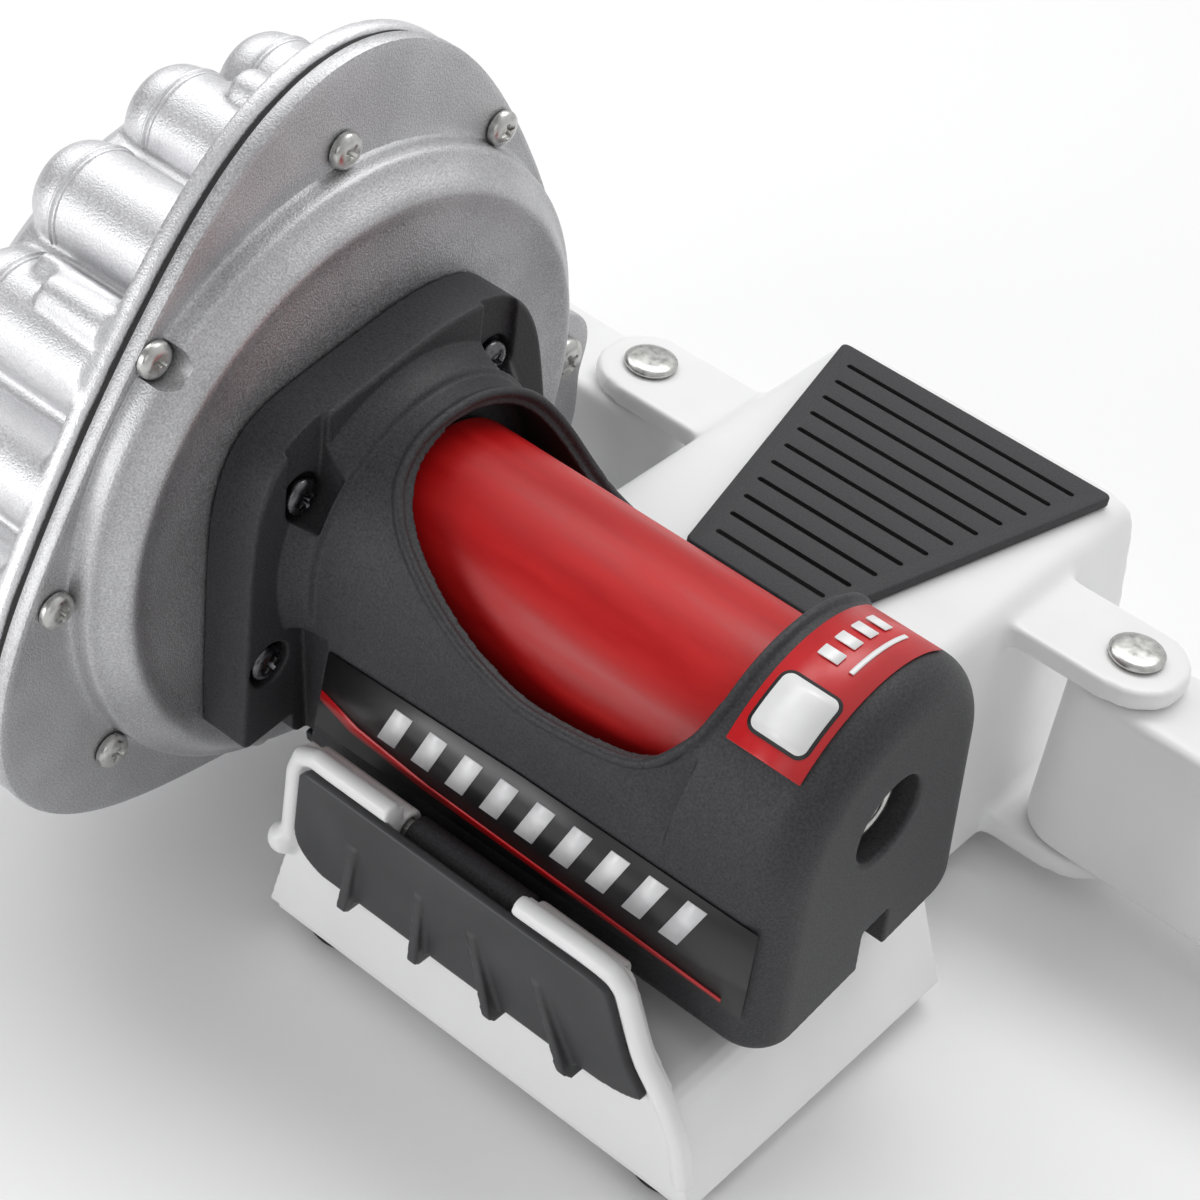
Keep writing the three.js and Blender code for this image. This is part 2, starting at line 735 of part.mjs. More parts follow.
function bearing(side, from, to) {
  const start = from + seatGap;
  const end = to - seatGap;
  const outerRing = ringX(outerRingInner, bearingRadius - seatGap, start, end, roundSegments);
  piece(`${side}_bearing_outer_ring`, outerRing, paint.zincSteel, unit);
  piece(`${side}_bearing_balls`, ballRing((start + end) / 2), paint.darkSteel, unit);
  piece(`${side}_bearing_inner_ring`, ringX(bore, innerRingOuter, start, end, 24), paint.zincSteel, rotor);
}
bearing('far', farBearingStart, farBearingEnd);
bearing('near', nearBearingStart, nearBearingEnd);
const seal = ringX(bore, bearingRadius - seatGap, sealStart, sealEnd, roundSegments);
piece('shaft_seal', seal, paint.rubber, unit);
const snapRing = ringX(outerRingInner, bearingRadius - seatGap, bayTo + seatGap, nearBearingStart, 24);
piece('retaining_ring', snapRing, paint.darkSteel, unit);

// Printed films: one on the side wall and one over the arch.
const filmThickness = 0.4;
const sideFilmTop = -6.5;
const sideFilmBottom = -33;

function sideLabel() {
  const slope = (housingBottomHalfWidth - archRadius) / (housingBottom - housingCorner);
  const wallAt = (z) => -archRadius + slope * z - seatGap;
  const shape = new THREE.Shape();
  shape.moveTo(wallAt(sideFilmTop), sideFilmTop);
  shape.lineTo(wallAt(sideFilmTop) - filmThickness, sideFilmTop);
  shape.lineTo(wallAt(sideFilmBottom) - filmThickness, sideFilmBottom);
  shape.lineTo(wallAt(sideFilmBottom), sideFilmBottom);
  shape.closePath();
  return alongX(shape, collarEnd, housingEnd - housingEndFillet);
}
piece('side_label', sideLabel(), paint.blackFilm, unit);

const topFilmFromDegrees = 50;
const topFilmToDegrees = 133;
const topFilmMargin = 2.8;
const topFilmWidth = 16.6;

function topLabel() {
  const inner = archRadius + seatGap;
  const outer = inner + filmThickness;
  const shape = new THREE.Shape();
  shape.absarc(0, 0, outer, radians(topFilmFromDegrees), radians(topFilmToDegrees), false);
  shape.absarc(0, 0, inner, radians(topFilmToDegrees), radians(topFilmFromDegrees), true);
  shape.closePath();
  const from = windowTo + topFilmMargin;
  return alongX(shape, from, from + topFilmWidth);
}
piece('top_label', topLabel(), paint.redFilm, unit);

// Bottom cover of the housing, with the arm and knuckle that carry the unit on its hinge.
const tilt = radians(restTiltDegrees);
const hingeUnitY = hingeY * Math.cos(tilt) + hingeZ * Math.sin(tilt);
const hingeUnitZ = hingeZ * Math.cos(tilt) - hingeY * Math.sin(tilt);
const coverPlateTop = -housingBottom - seatGap;
const coverPlateBottom = coverPlateTop - coverWall;
const pinHole = hingePinRadius + seatGap;

function housingBottomCover() {
  const from = flangeFrontStation + seatGap;
  const to = bayTo + hubWall;
  const half = housingBottomHalfWidth - housingCorner;
  let plate = box(from, to, -half, half, coverPlateBottom, coverPlateTop);
  const armFrom = knuckleSlotFrom + runGap;
  const armTo = knuckleSlotTo - runGap;
  const armOut = hingeUnitY - knuckleRadius + knuckleWall / 2;
  const armIn = hingeUnitY + knuckleRadius - knuckleWall / 2;
  plate = plate.add(box(armFrom, armTo, armOut, -half + overrun, coverPlateBottom, coverPlateTop));
  plate = plate.add(box(armFrom, armTo, armOut, armIn, coverPlateBottom, hingeUnitZ));
  plate = plate.add(barX(knuckleRadius, armFrom, armTo, hingeUnitY, hingeUnitZ, 20));
  return plate.subtract(barX(pinHole, armFrom - overrun, armTo + overrun, hingeUnitY, hingeUnitZ));
}
piece('housing_bottom_cover', housingBottomCover(), paint.darkPlastic, unit);

// Stand deck: a white shell with a raised front wall. A round rim follows the wall's edge: it runs up
// the left side, along both hinge bars, and flares down to the right.
const deckFrom = deckTopFrom - deckSideDraft;
const deckTo = deckTopTo + deckFlare;
const deckCorner = 4;

function deckShape(inset, bottom) {
  return roundedShape([
    [deckFrom + inset, bottom, 0],
    [deckTo - inset, bottom, 0],
    [deckTopTo - inset, deckTop - inset, deckCorner],
    [deckTopFrom + inset, deckTop - inset, deckCorner],
  ]);
}

// The flared end of the rim, as shares of its width and of its drop.
const rimFlareShares = [
  [0, 0], [0.15, 0.026], [0.235, 0.115], [0.333, 0.245], [0.45, 0.388], [0.647, 0.531], [0.863, 0.74], [1, 1],
];
const rimFlare = rimFlareShares.map(([across, down]) => [
  rimFlareFrom + across * rimFlareWidth,
  rimZ - down * rimFlareDrop,
]);
const rimTurns = 2;

// A round rod along a curve through [x, z] places in the plane of the front wall.
function rimRod(places) {
  const points = places.map(([x, z]) => new THREE.Vector3(x, deckFrontY, z));
  const path = new THREE.CatmullRomCurve3(points, false, 'centripetal');
  const section = new THREE.Shape();
  section.absarc(0, 0, rimRadius, 0, 2 * Math.PI, false);
  return solid(new THREE.ExtrudeGeometry(section, {
    steps: rimTurns * places.length,
    curveSegments: smallSegments / 2,
    bevelEnabled: false,
    extrudePath: path,
  }));
}

// Plate screws, each in a hollow boss that hangs from the shell's top wall.
const plateScrewHead = 3.2;
const plateScrewShank = 1.6;
const plateScrewLength = 9;
const screwBossRadius = 4;
const screwBossInset = 28;
const screwBossBack = 14;
const deckScrews = [
  [deckFrom + screwBossInset, deckBackY - screwBossBack],
  [deckTo - screwBossInset, deckBackY - screwBossBack],
];
const tongueScrews = [
  [padCentre - padFarWidth / 3, padFarY - screwBossBack / 2],
  [padCentre + padFarWidth / 3, padFarY - screwBossBack / 2],
];

function bossed(shell, places, top) {
  let result = shell;
  for (const [x, y] of places) {
    result = result.add(barZ(screwBossRadius, shellBottom, top, x, y));
    const hole = plateScrewShank + seatGap;
    result = result.subtract(barZ(hole, shellBottom - overrun, shellBottom + plateScrewLength, x, y));
  }
  return result;
}

// The part of the front wall that rises above the deck, at the right, under the flared rim.
function flaredWall() {
  const shape = new THREE.Shape();
  shape.moveTo(knuckleSlotTo, deckTop - shellWall);
  shape.lineTo(knuckleSlotTo, rimZ);
  for (const [x, z] of rimFlare.filter(([, height]) => height > deckTop)) {
    shape.lineTo(x, z);
  }
  shape.lineTo(deckTopTo, deckTop - shellWall);
  shape.closePath();
  return alongY(shape, deckFrontY, deckFrontY + shellWall);
}

function deckShell() {
  const wallBack = deckFrontY + shellWall;
  const hollow = deckShape(shellWall, shellBottom - overrun);
  let shell = alongY(deckShape(0, shellBottom), deckFrontY, deckBackY);
  shell = shell.subtract(alongY(hollow, wallBack, deckBackY - shellWall));
  shell = shell.add(box(deckTopFrom, knuckleSlotFrom, deckFrontY, wallBack, deckTop - shellWall, rimZ));
  shell = shell.add(flaredWall());
  shell = shell.add(barX(knuckleRadius, deckTopFrom, knuckleSlotFrom, hingeY, hingeZ, 20));
  shell = shell.add(barX(knuckleRadius, knuckleSlotTo, rimFlareFrom, hingeY, hingeZ, 20));
  const earZ = rimZ - rimLeftDrop;
  shell = shell.add(rimRod([
    [deckTopFrom, earZ],
    [deckTopFrom, rimZ - 2 * rimCornerRadius],
    [deckTopFrom, rimZ - rimCornerRadius],
    [deckTopFrom + rimCornerRadius, rimZ],
    [deckTopFrom + 2 * rimCornerRadius, rimZ],
    [knuckleSlotFrom, rimZ],
  ]));
  const ear = solid(new THREE.SphereGeometry(rimEarRadius, smallSegments, smallSegments - 2));
  shell = shell.add(ear.translate([deckTopFrom + rimRadius - rimEarRadius, deckFrontY, earZ]));
  shell = shell.add(rimRod([[knuckleSlotTo, rimZ], ...rimFlare]));
  shell = bossed(shell, deckScrews, deckTop - shellWall / 2);
  return shell.subtract(barX(pinHole, deckTopFrom - overrun, rimFlareFrom + overrun, hingeY, hingeZ));
}
piece('deck_shell', deckShell(), paint.whitePlastic, stand);

function hingePin() {
  const headFrom = deckTopFrom - seatGap;
  const pin = barX(hingePinRadius, headFrom, rimFlareFrom + overrun, hingeY, hingeZ);
  return pin.add(barX(hingePinRadius * 1.5, headFrom - overrun / 2, headFrom, hingeY, hingeZ));
}
piece('hinge_pin', hingePin(), paint.zincSteel, stand);

// Moves each place on a run of [x, z] places sideways, to the lower left of the run.
function beside(places, distance) {
  return places.map(([x, z], i) => {
    const [fromX, fromZ] = places[Math.max(i - 1, 0)];
    const [toX, toZ] = places[Math.min(i + 1, places.length - 1)];
    const length = Math.hypot(toX - fromX, toZ - fromZ);
    return [x + distance * (toZ - fromZ) / length, z - distance * (toX - fromX) / length];
  });
}

// Dark apron plate in front of the deck wall, inside the rim. Its gussets start thin high up, grow
// outwards and reach below its lower edge. Each has its tip and its lean as shares of the plate's width.
const apronBack = deckFrontY - seatGap;
const apronFront = apronBack - apronThickness;
const apronTop = rimZ - rimRadius - seatGap;
const apronBottom = apronTop - apronHeight;
const apronFrom = deckTopFrom + rimRadius + seatGap;
const apronEdge = beside(rimFlare, rimRadius + 2 * seatGap)
  .filter(([, z]) => z < apronTop && z > apronBottom);
const apronTo = apronEdge[apronEdge.length - 1][0];
const gussetShares = [[0.17, 0.01], [0.38, 0.03], [0.6, 0.1], [0.81, 0.13]];

function apronPlate() {
  const shape = new THREE.Shape();
  shape.moveTo(apronFrom + rimCornerRadius / 2, apronTop);
  shape.lineTo(apronFrom, apronTop - rimCornerRadius / 2);
  shape.lineTo(apronFrom, apronBottom + apronCorner);
  shape.quadraticCurveTo(apronFrom, apronBottom + apronCorner / 4, apronFrom + apronCorner, apronBottom);
  shape.lineTo(apronTo - 2 * apronCorner, apronBottom);
  shape.quadraticCurveTo(apronTo - apronCorner / 2, apronBottom, ...apronEdge[apronEdge.length - 1]);
  for (const [x, z] of apronEdge.slice(0, -1).reverse()) {
    shape.lineTo(x, z);
  }
  shape.lineTo(apronEdge[0][0] - rimRadius, apronTop);
  shape.closePath();
  let plate = alongY(shape, apronFront, apronBack);
  for (const [tipShare, leanShare] of gussetShares) {
    const side = new THREE.Shape();
    side.moveTo(apronBack, 0);
    side.lineTo(apronBack, gussetHeight);
    side.lineTo(apronFront - gussetDepth / 8, gussetHeight);
    side.lineTo(apronFront - gussetDepth, gussetDrop / 2);
    side.lineTo(apronFront - gussetDepth / 2, 0);
    side.closePath();
    const blade = new THREE.ExtrudeGeometry(side, { depth: apronThickness, bevelEnabled: false });
    const width = apronTo - apronFrom;
    const lean = new THREE.Vector3(-leanShare * width / gussetHeight, 0, 1);
    const tip = new THREE.Vector3(apronFrom + tipShare * width, 0, apronBottom - gussetDrop);
    plate = plate.add(solid(placed(blade, axisY, lean, axisX, tip)));
  }
  return plate;
}
piece('apron_plate', apronPlate(), paint.darkPlastic, stand);

// Tongue: a white shell with drafted sides that carries the tread pad and the leg lugs.
const tongueFrom = deckBackY + seatGap;
const tongueTo = padFarY + tongueMargin;

// Half width of the pad at a distance along the tongue.
function padHalf(y) {
  const share = (y - padNearY) / (padFarY - padNearY);
  return (padNearWidth + share * (padFarWidth - padNearWidth)) / 2;
}

function tongueShape(inset, bottom) {
  return roundedShape([
    [padCentre - tongueBottomHalf + inset, bottom, 0],
    [padCentre + tongueBottomHalf - inset, bottom, 0],
    [padCentre + tongueTopHalf - inset, tongueTop - inset, tongueCorner],
    [padCentre - tongueTopHalf + inset, tongueTop - inset, tongueCorner],
  ]);
}

// A bar outline from a far end to a half-round eye about the origin, wider or narrower at the far end.
function roundEnded(farEnd, half, farHalf) {
  const shape = new THREE.Shape();
  const away = Math.sign(farEnd);
  shape.moveTo(farEnd, away * farHalf);
  shape.lineTo(0, away * half);
  for (let i = 1; i < smallSegments; i += 1) {
    const angle = Math.PI * (away / 2 + i / smallSegments);
    shape.lineTo(half * Math.cos(angle), half * Math.sin(angle));
  }
  shape.lineTo(0, -away * half);
  shape.lineTo(farEnd, -away * farHalf);
  shape.closePath();
  return shape;
}

const lugBottom = shellBottom;
const lugBottomTop = lugBottom + lugThickness;
const lugTopBottom = lugTop - lugThickness;

function tongueShell() {
  let shell = alongY(tongueShape(0, shellBottom), tongueFrom, tongueTo);
  for (const side of [-1, 1]) {
    const lug = roundEnded(-legPivotReach, legHalfWidth, legHalfWidth);
    for (const [low, high] of [[lugBottom, lugBottomTop], [lugTopBottom, lugTop]]) {
      const turn = side > 0 ? 0 : 180;
      const plate = alongZ(lug, low, high).rotate([0, 0, turn]);
      shell = shell.add(plate.translate([padCentre + side * legPivotReach, legPivotY, 0]));
    }
  }
  const hollow = tongueShape(shellWall, shellBottom - overrun);
  shell = shell.subtract(alongY(hollow, tongueFrom + shellWall, tongueTo - shellWall));
  for (const side of [-1, 1]) {
    const pivot = padCentre + side * legPivotReach;
    const hole = legPinRadius + seatGap;
    shell = shell.subtract(barZ(hole, lugBottom - overrun, lugTop + overrun, pivot, legPivotY, 20));
  }
  return bossed(shell, tongueScrews, tongueTop - shellWall / 2);
}
piece('tongue_shell', tongueShell(), paint.whitePlastic, stand);

// Ribbed rubber tread pad on top of the tongue.
function treadPad() {
  const near = padHalf(padNearY);
  const far = padHalf(padFarY);
  const shape = roundedShape([
    [padCentre - near, padNearY, 1.5],
    [padCentre + near, padNearY, 1.5],
    [padCentre + far, padFarY, 2.5],
    [padCentre - far, padFarY, 2.5],
  ]);
  let pad = alongZ(shape, padTop - padThickness, padTop);
  const pitch = (padFarY - padNearY) / (padGrooves + 1);
  for (let i = 1; i <= padGrooves; i += 1) {
    const y = padNearY + i * pitch;
    const half = padHalf(y) - tongueMargin;
    const groove = padGrooveWidth / 2;
    pad = pad.subtract(box(padCentre - half, padCentre + half, y - groove, y + groove,
      padTop - padGrooveDepth, padTop + overrun));
  }
  return pad;
}
piece('tread_pad', treadPad(), paint.padRubber, stand);

// Bottom plate that closes the deck and the tongue from below, set in a little from their walls,
// and its four screws.
const plateScrews = [...deckScrews, ...tongueScrews];
const plateInset = 1.5;

function bottomPlate() {
  const deckPart = box(deckFrom + plateInset, deckTo - plateInset, deckFrontY + plateInset, deckBackY,
    plateBottom, plateTop);
  const tongueHalf = tongueBottomHalf - plateInset;
  let plate = deckPart.add(box(padCentre - tongueHalf, padCentre + tongueHalf, deckBackY - overrun,
    tongueTo - plateInset, plateBottom, plateTop));
  for (const [x, y] of plateScrews) {
    plate = plate.subtract(barZ(plateScrewShank + seatGap, plateBottom - overrun, plateTop + overrun, x, y));
  }
  return plate;
}
piece('bottom_plate', bottomPlate(), paint.whitePlastic, stand);

plateScrews.forEach(([x, y], i) => {
  const head = barZ(plateScrewHead, plateBottom - seatGap - plateScrewShank, plateBottom - seatGap, x, y);
  const stub = barZ(plateScrewShank, plateBottom - seatGap * 2, plateBottom + plateScrewLength, x, y);
  piece(`plate_screw_${i + 1}`, head.add(stub), paint.zincSteel, stand);
});

// Rubber feet under the deck, and the buffer that the unit rests on.
const footRadius = 9;
const footInset = footRadius + 2 * plateInset;
const footY = deckFrontY + footInset;
[deckFrom + footInset, deckTo - footInset].forEach((x, i) => {
  const foot = barZ(footRadius, floorZ, floorZ + footHeight, x, footY, 24);
  piece(`deck_foot_${i + 1}`, foot, paint.rubber, stand);
});

const bufferRadius = 7;
const bufferUnitY = 20;

function restBuffer() {
  const top = coverPlateBottom - seatGap;
  const shape = barZ(bufferRadius, top - 3 * bufferRadius, top, padCentre, bufferUnitY, 20);
  const trimmed = shape.rotate([restTiltDegrees, 0, 0]);
  const low = deckTop + seatGap;
  return trimmed.subtract(box(0, 2 * padCentre, -axisHeight, axisHeight, -2 * axisHeight, low));
}
piece('rest_buffer', restBuffer(), paint.rubber, stand);

// Folding side legs, each on a vertical pin between the lugs, with a rubber foot at its end.
function leg(side, name) {
  const pivot = padCentre + side * legPivotReach;
  const tip = pivot + side * legLength;
  const low = lugBottomTop + seatGap;
  const high = lugTopBottom - seatGap;
  const half = legHalfWidth - seatGap;
  const turn = side > 0 ? 0 : 180;
  const outline = roundEnded(legLength, half, half * legTipShare);
  let body = alongZ(outline, low, high, legRound).rotate([0, 0, turn]).translate([pivot, legPivotY, 0]);
  body = body.subtract(barZ(legPinRadius + seatGap, low - overrun, high + overrun, pivot, legPivotY, 20));
  piece(`${name}_leg`, body, paint.whitePlastic, stand);
  const footX = tip - side * legHalfWidth * 1.3;
  const foot = barZ(footRadius, floorZ, low - seatGap, footX, legPivotY, 24);
  piece(`${name}_leg_foot`, foot, paint.rubber, stand);
  const pin = barZ(legPinRadius, lugBottom, lugTop, pivot, legPivotY, 20)
    .add(barZ(legPinRadius * 1.5, lugTop + seatGap, lugTop + overrun, pivot, legPivotY, 20))
    .add(barZ(legPinRadius, lugTop - overrun, lugTop + overrun, pivot, legPivotY, 20));
  piece(`${name}_leg_pin`, pin, paint.zincSteel, stand);
}
leg(-1, 'left');
leg(1, 'right');

// The origin is moved to the middle of the bounding box, at floor level.
stand.updateMatrixWorld(true);
const bounds = new THREE.Box3().setFromObject(stand, true);
const middle = bounds.getCenter(new THREE.Vector3());
stand.position.set(-middle.x, -middle.y, -bounds.min.z);

export default stand;
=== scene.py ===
import json
import math

import bmesh
import bpy
from mathutils import Matrix, Vector, noise


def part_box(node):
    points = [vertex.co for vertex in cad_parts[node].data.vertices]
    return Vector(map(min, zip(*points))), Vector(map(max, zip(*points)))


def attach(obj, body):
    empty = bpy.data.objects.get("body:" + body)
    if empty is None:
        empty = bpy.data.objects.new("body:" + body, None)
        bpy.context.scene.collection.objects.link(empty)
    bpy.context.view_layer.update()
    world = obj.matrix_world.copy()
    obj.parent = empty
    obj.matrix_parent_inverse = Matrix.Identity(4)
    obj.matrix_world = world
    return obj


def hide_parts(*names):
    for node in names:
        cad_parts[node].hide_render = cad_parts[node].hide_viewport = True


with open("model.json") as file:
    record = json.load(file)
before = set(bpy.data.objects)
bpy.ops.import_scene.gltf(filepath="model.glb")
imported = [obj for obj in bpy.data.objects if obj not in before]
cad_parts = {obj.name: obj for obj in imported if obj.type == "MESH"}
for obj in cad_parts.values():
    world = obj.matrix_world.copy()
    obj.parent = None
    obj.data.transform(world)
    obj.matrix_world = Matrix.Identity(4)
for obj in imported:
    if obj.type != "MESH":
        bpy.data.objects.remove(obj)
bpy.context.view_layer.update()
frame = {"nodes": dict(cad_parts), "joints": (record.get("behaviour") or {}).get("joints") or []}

# The frame that every piece is placed by. swing_place takes millimetres along the tilted unit, with
# X on the roller's axis from the chamber's flange face, into the row frame. part_place does it level.
mm = 0.001
joint_station = 70 * mm
rest_tilt = math.radians(8)
joint_point = {joint["name"]: Vector(joint["pos_m"]) for joint in frame["joints"]}
axis_point = joint_point["roller_spin"] - Vector((joint_station, 0, 0))
to_metres = Matrix.Scale(mm, 4)
part_place = Matrix.Translation(axis_point) @ to_metres
swing_place = Matrix.Translation(axis_point) @ Matrix.Rotation(rest_tilt, 4, "X") @ to_metres

# Chamber body: the rear half of the fluid chamber, one aluminium die casting. A drum ringed by
# round cooling pods, with bosses for the cover screws, on a thick lobed flange; bead blasted.


def linear(hex_colour):
    """Linear colour with alpha from an sRGB hex value."""
    channels = [int(hex_colour[i:i + 2], 16) / 255 for i in (1, 3, 5)]
    return [c / 12.92 if c <= 0.04045 else ((c + 0.055) / 1.055) ** 2.4 for c in channels] + [1]


def add_node(tree, kind, inputs=None, **settings):
    """Adds a node, sets its properties, and sets or links each named input."""
    node = tree.nodes.new(kind)
    for name, value in settings.items():
        setattr(node, name, value)
    for name, value in (inputs or {}).items():
        if isinstance(value, bpy.types.NodeSocket):
            tree.links.new(value, node.inputs[name])
        else:
            node.inputs[name].default_value = value
    return node


def new_finish(name, **sockets):
    """A material with its Principled shader's own sockets set, and its Object coordinates."""
    material = bpy.data.materials.new(name)
    material.use_nodes = True
    tree = material.node_tree
    shader = tree.nodes["Principled BSDF"]
    for socket, value in sockets.items():
        shader.inputs[socket.replace("_", " ")].default_value = value
    place = add_node(tree, "ShaderNodeTexCoord").outputs["Object"]
    return material, tree, shader, place


def two_tones(tree, shader, pattern, low, high, start=0.3, end=0.7):
    """Colours the shader between two sRGB tones by a pattern."""
    ramp = add_node(tree, "ShaderNodeValToRGB", {"Fac": pattern})
    ramp.color_ramp.elements[0].position = start
    ramp.color_ramp.elements[1].position = end
    ramp.color_ramp.elements[0].color = linear(low)
    ramp.color_ramp.elements[1].color = linear(high)
    tree.links.new(ramp.outputs["Color"], shader.inputs["Base Color"])


def vary(tree, shader, pattern, rough=None, bump=None, start=0.3):
    """Lets a pattern vary the shader's roughness between two levels, and lift its surface."""
    if rough:
        level = add_node(tree, "ShaderNodeMapRange", {"Value": pattern, "From Min": start, "From Max": 0.7,
                         "To Min": rough[0], "To Max": rough[1]})
        tree.links.new(level.outputs["Result"], shader.inputs["Roughness"])
    if bump:
        relief = add_node(tree, "ShaderNodeBump", {"Height": pattern, "Strength": bump[0],
                          "Distance": bump[1]})
        tree.links.new(relief.outputs["Normal"], shader.inputs["Normal"])


def patterned(name, tones, grain, detail=3, swirl=0, rough=None, bump=None, **sockets):
    """A finish whose tone, roughness and relief follow one noise with grains of a real size."""
    material, tree, shader, place = new_finish(name, **sockets)
    pattern = add_node(tree, "ShaderNodeTexNoise", {"Vector": place, "Scale": 1 / grain, "Detail": detail,
                       "Distortion": swirl}).outputs["Fac"]
    two_tones(tree, shader, pattern, *tones)
    vary(tree, shader, pattern, rough, bump)
    return material


def blasted_aluminium(name, dark, light):
    """Bead-blasted die casting: satin, with a fine sparkle of grain and faint flow clouds."""
    grain_size = 0.4 * mm
    cloud_size = 14 * mm
    material, tree, shader, place = new_finish(name, Metallic=1)
    cloud = add_node(tree, "ShaderNodeTexNoise", {"Vector": place, "Scale": 1 / cloud_size, "Detail": 3})
    grain = add_node(tree, "ShaderNodeTexNoise", {"Vector": place, "Scale": 1 / grain_size, "Detail": 1})
    speckle = add_node(tree, "ShaderNodeMix", {"Factor": 0.7, "A": cloud.outputs["Fac"],
                       "B": grain.outputs["Fac"]})
    two_tones(tree, shader, speckle.outputs["Result"], dark, light, 0.35, 0.65)
    vary(tree, shader, grain.outputs["Fac"], (0.46, 0.58), (0.8, 0.12 * mm))
    return material


aluminium = blasted_aluminium("blasted_cast_aluminium", "#B2B2B4", "#D8D8DA")
# The chamber body gets a paler copy of the same bead-blasted finish: painted light, for the strong light on
# its pods.
painted_lit_aluminium = blasted_aluminium("painted_lit_blasted_cast_aluminium", "#D6D6D8", "#ECECEE")


def polar(radius, degrees):
    return radius * math.cos(math.radians(degrees)), radius * math.sin(math.radians(degrees))


def circle(radius, steps):
    return [polar(radius, 360 * i / steps) for i in range(steps)]


def skin(rings, capped=True):
    """Points and faces of a closed skin through rings of equally many points."""
    count = len(rings[0])
    points = [point for ring in rings for point in ring]
    faces = []
    for level in range(len(rings) - 1):
        here = level * count
        there = here + count
        for i in range(count):
            j = (i + 1) % count
            faces.append((here + i, here + j, there + j, there + i))
    if capped:
        faces.append(tuple(range(count)))
        faces.append(tuple((len(rings) - 1) * count + i for i in range(count)))
    return points, faces


def lathe(profile, centre=(0, 0), steps=64, closed=False):
    """A skin turned about a line along X: the profile holds stations and radii."""
    rings = []
    for station, radius in profile + profile[:1] * closed:
        rings.append([(station, centre[0] + y, centre[1] + z) for y, z in circle(radius, steps)])
    return skin(rings, capped=not closed)


def add_object(name, data):
    """A new object of the scene."""
    thing = bpy.data.objects.new(name, data)
    bpy.context.scene.collection.objects.link(thing)
    return thing


def make_piece(name, shells, material, place=swing_place):
    """One mesh object from closed shells, in the row frame."""
    form = bmesh.new()
    for points, faces in shells:
        corners = [form.verts.new(place @ Vector(point)) for point in points]
        for face in faces:
            form.faces.new([corners[i] for i in face])
    bmesh.ops.remove_doubles(form, verts=form.verts, dist=0.002 * mm)
    bmesh.ops.recalc_face_normals(form, faces=form.faces)
    mesh = bpy.data.meshes.new(name)
    form.to_mesh(mesh)
    form.free()
    mesh.materials.append(material)
    mesh.shade_smooth()
    return add_object(name, mesh)


def settle(piece):
    """Makes a piece's modifiers its own mesh."""
    bpy.context.view_layer.update()
    graph = bpy.context.evaluated_depsgraph_get()
    mesh = bpy.data.meshes.new_from_object(piece.evaluated_get(graph))
    piece.modifiers.clear()
    piece.data = mesh
    piece.data.shade_smooth()


def melt(piece, cell, rounds, share):
    """Melts shells into one moulded skin of small cells, softens it, and thins it to a share."""
    remesh = piece.modifiers.new("melt", "REMESH")
    remesh.mode = "VOXEL"
    remesh.voxel_size = cell
    soften = piece.modifiers.new("soften", "SMOOTH")
    soften.factor = 0.5
    soften.iterations = rounds
    thin = piece.modifiers.new("thin", "DECIMATE")
    thin.ratio = share
    settle(piece)


def carve(piece, shells, operation="DIFFERENCE", place=swing_place, material=None):
    """Cuts or joins a piece by closed shells in turn, faced in its own finish or in another."""
    for shell in shells:
        tool = make_piece("tool", [shell], material or piece.data.materials[0], place)
        step = piece.modifiers.new("carve", "BOOLEAN")
        step.object = tool
        step.operation = operation
        step.solver = "MANIFOLD"
        settle(piece)
        bpy.data.objects.remove(tool)


def bevel(piece, width, least_angle):
    """Breaks the edges of a piece that are sharper than an angle in degrees."""
    edge = piece.modifiers.new("edge", "BEVEL")
    edge.width = width
    edge.segments = 2
    edge.limit_method = "ANGLE"
    edge.angle_limit = math.radians(least_angle)
    settle(piece)


def hand_over(piece, body, slot, *nodes):
    """Rides a finished piece on its body, in place of the CAD nodes that it stands for."""
    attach(piece, body)
    if nodes:
        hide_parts(*nodes)


chamber_radius = 68.3
lobe_height = 21.2
lobes = [(81, 33), (200, 31), (324, 24)]
ear_degrees = 343.6
ear_ring = 73.2
ear_radius = 9.5
outline_steps = 360
outline_turn = [360 * i / outline_steps for i in range(outline_steps)]


def chamber_edge(degrees):
    """Radius of the chamber's outline: a circle swelling into three lobes, and the screw ear."""
    radius = chamber_radius
    for centre, width in lobes:
        away = (degrees - centre + 180) % 360 - 180
        radius += lobe_height * math.exp(-(away / width) ** 2)
    aside = math.radians(degrees - ear_degrees)
    reach = ear_radius ** 2 - (ear_ring * math.sin(aside)) ** 2
    if reach > 0 and math.cos(aside) > 0:
        ear = ear_ring * math.cos(aside) + math.sqrt(reach)
        blend = 36
        radius = (radius ** blend + ear ** blend) ** (1 / blend)
    return radius


def lobed_ring(station, inset):
    return [(station, *polar(chamber_edge(degrees) - inset, degrees)) for degrees in outline_turn]


def lobed_plate(back, front, soft):
    """The lobed flange between two stations, with softened rims."""
    middle = soft * (1 - math.sqrt(0.5))
    edge = [(back, soft * 1.2), (back + middle, middle), (back + soft, 0), (front - soft, 0),
            (front - middle, middle), (front, soft * 1.2)]
    return skin([lobed_ring(station, inset) for station, inset in edge])


body_front = -5
body_flange_back = body_front - 4.3
pod_length = 40
body_rear = body_flange_back - pod_length
pod_count = 16
pod_ring = 60.5
pod_radius = 10.9
lip_reach = 14
drum_radius = 62.5
bolt_ring = 71.2
bolt_edge = 3.2
bolt_degrees = [85.6, 47.5, 129.2, 171.7, 210.2, 250, 289]
# Between the lobes the bolts step inwards, so that each keeps its distance from the edge.
bolt_places = [polar(min(bolt_ring, chamber_edge(degrees) - bolt_edge), degrees) for degrees in bolt_degrees]


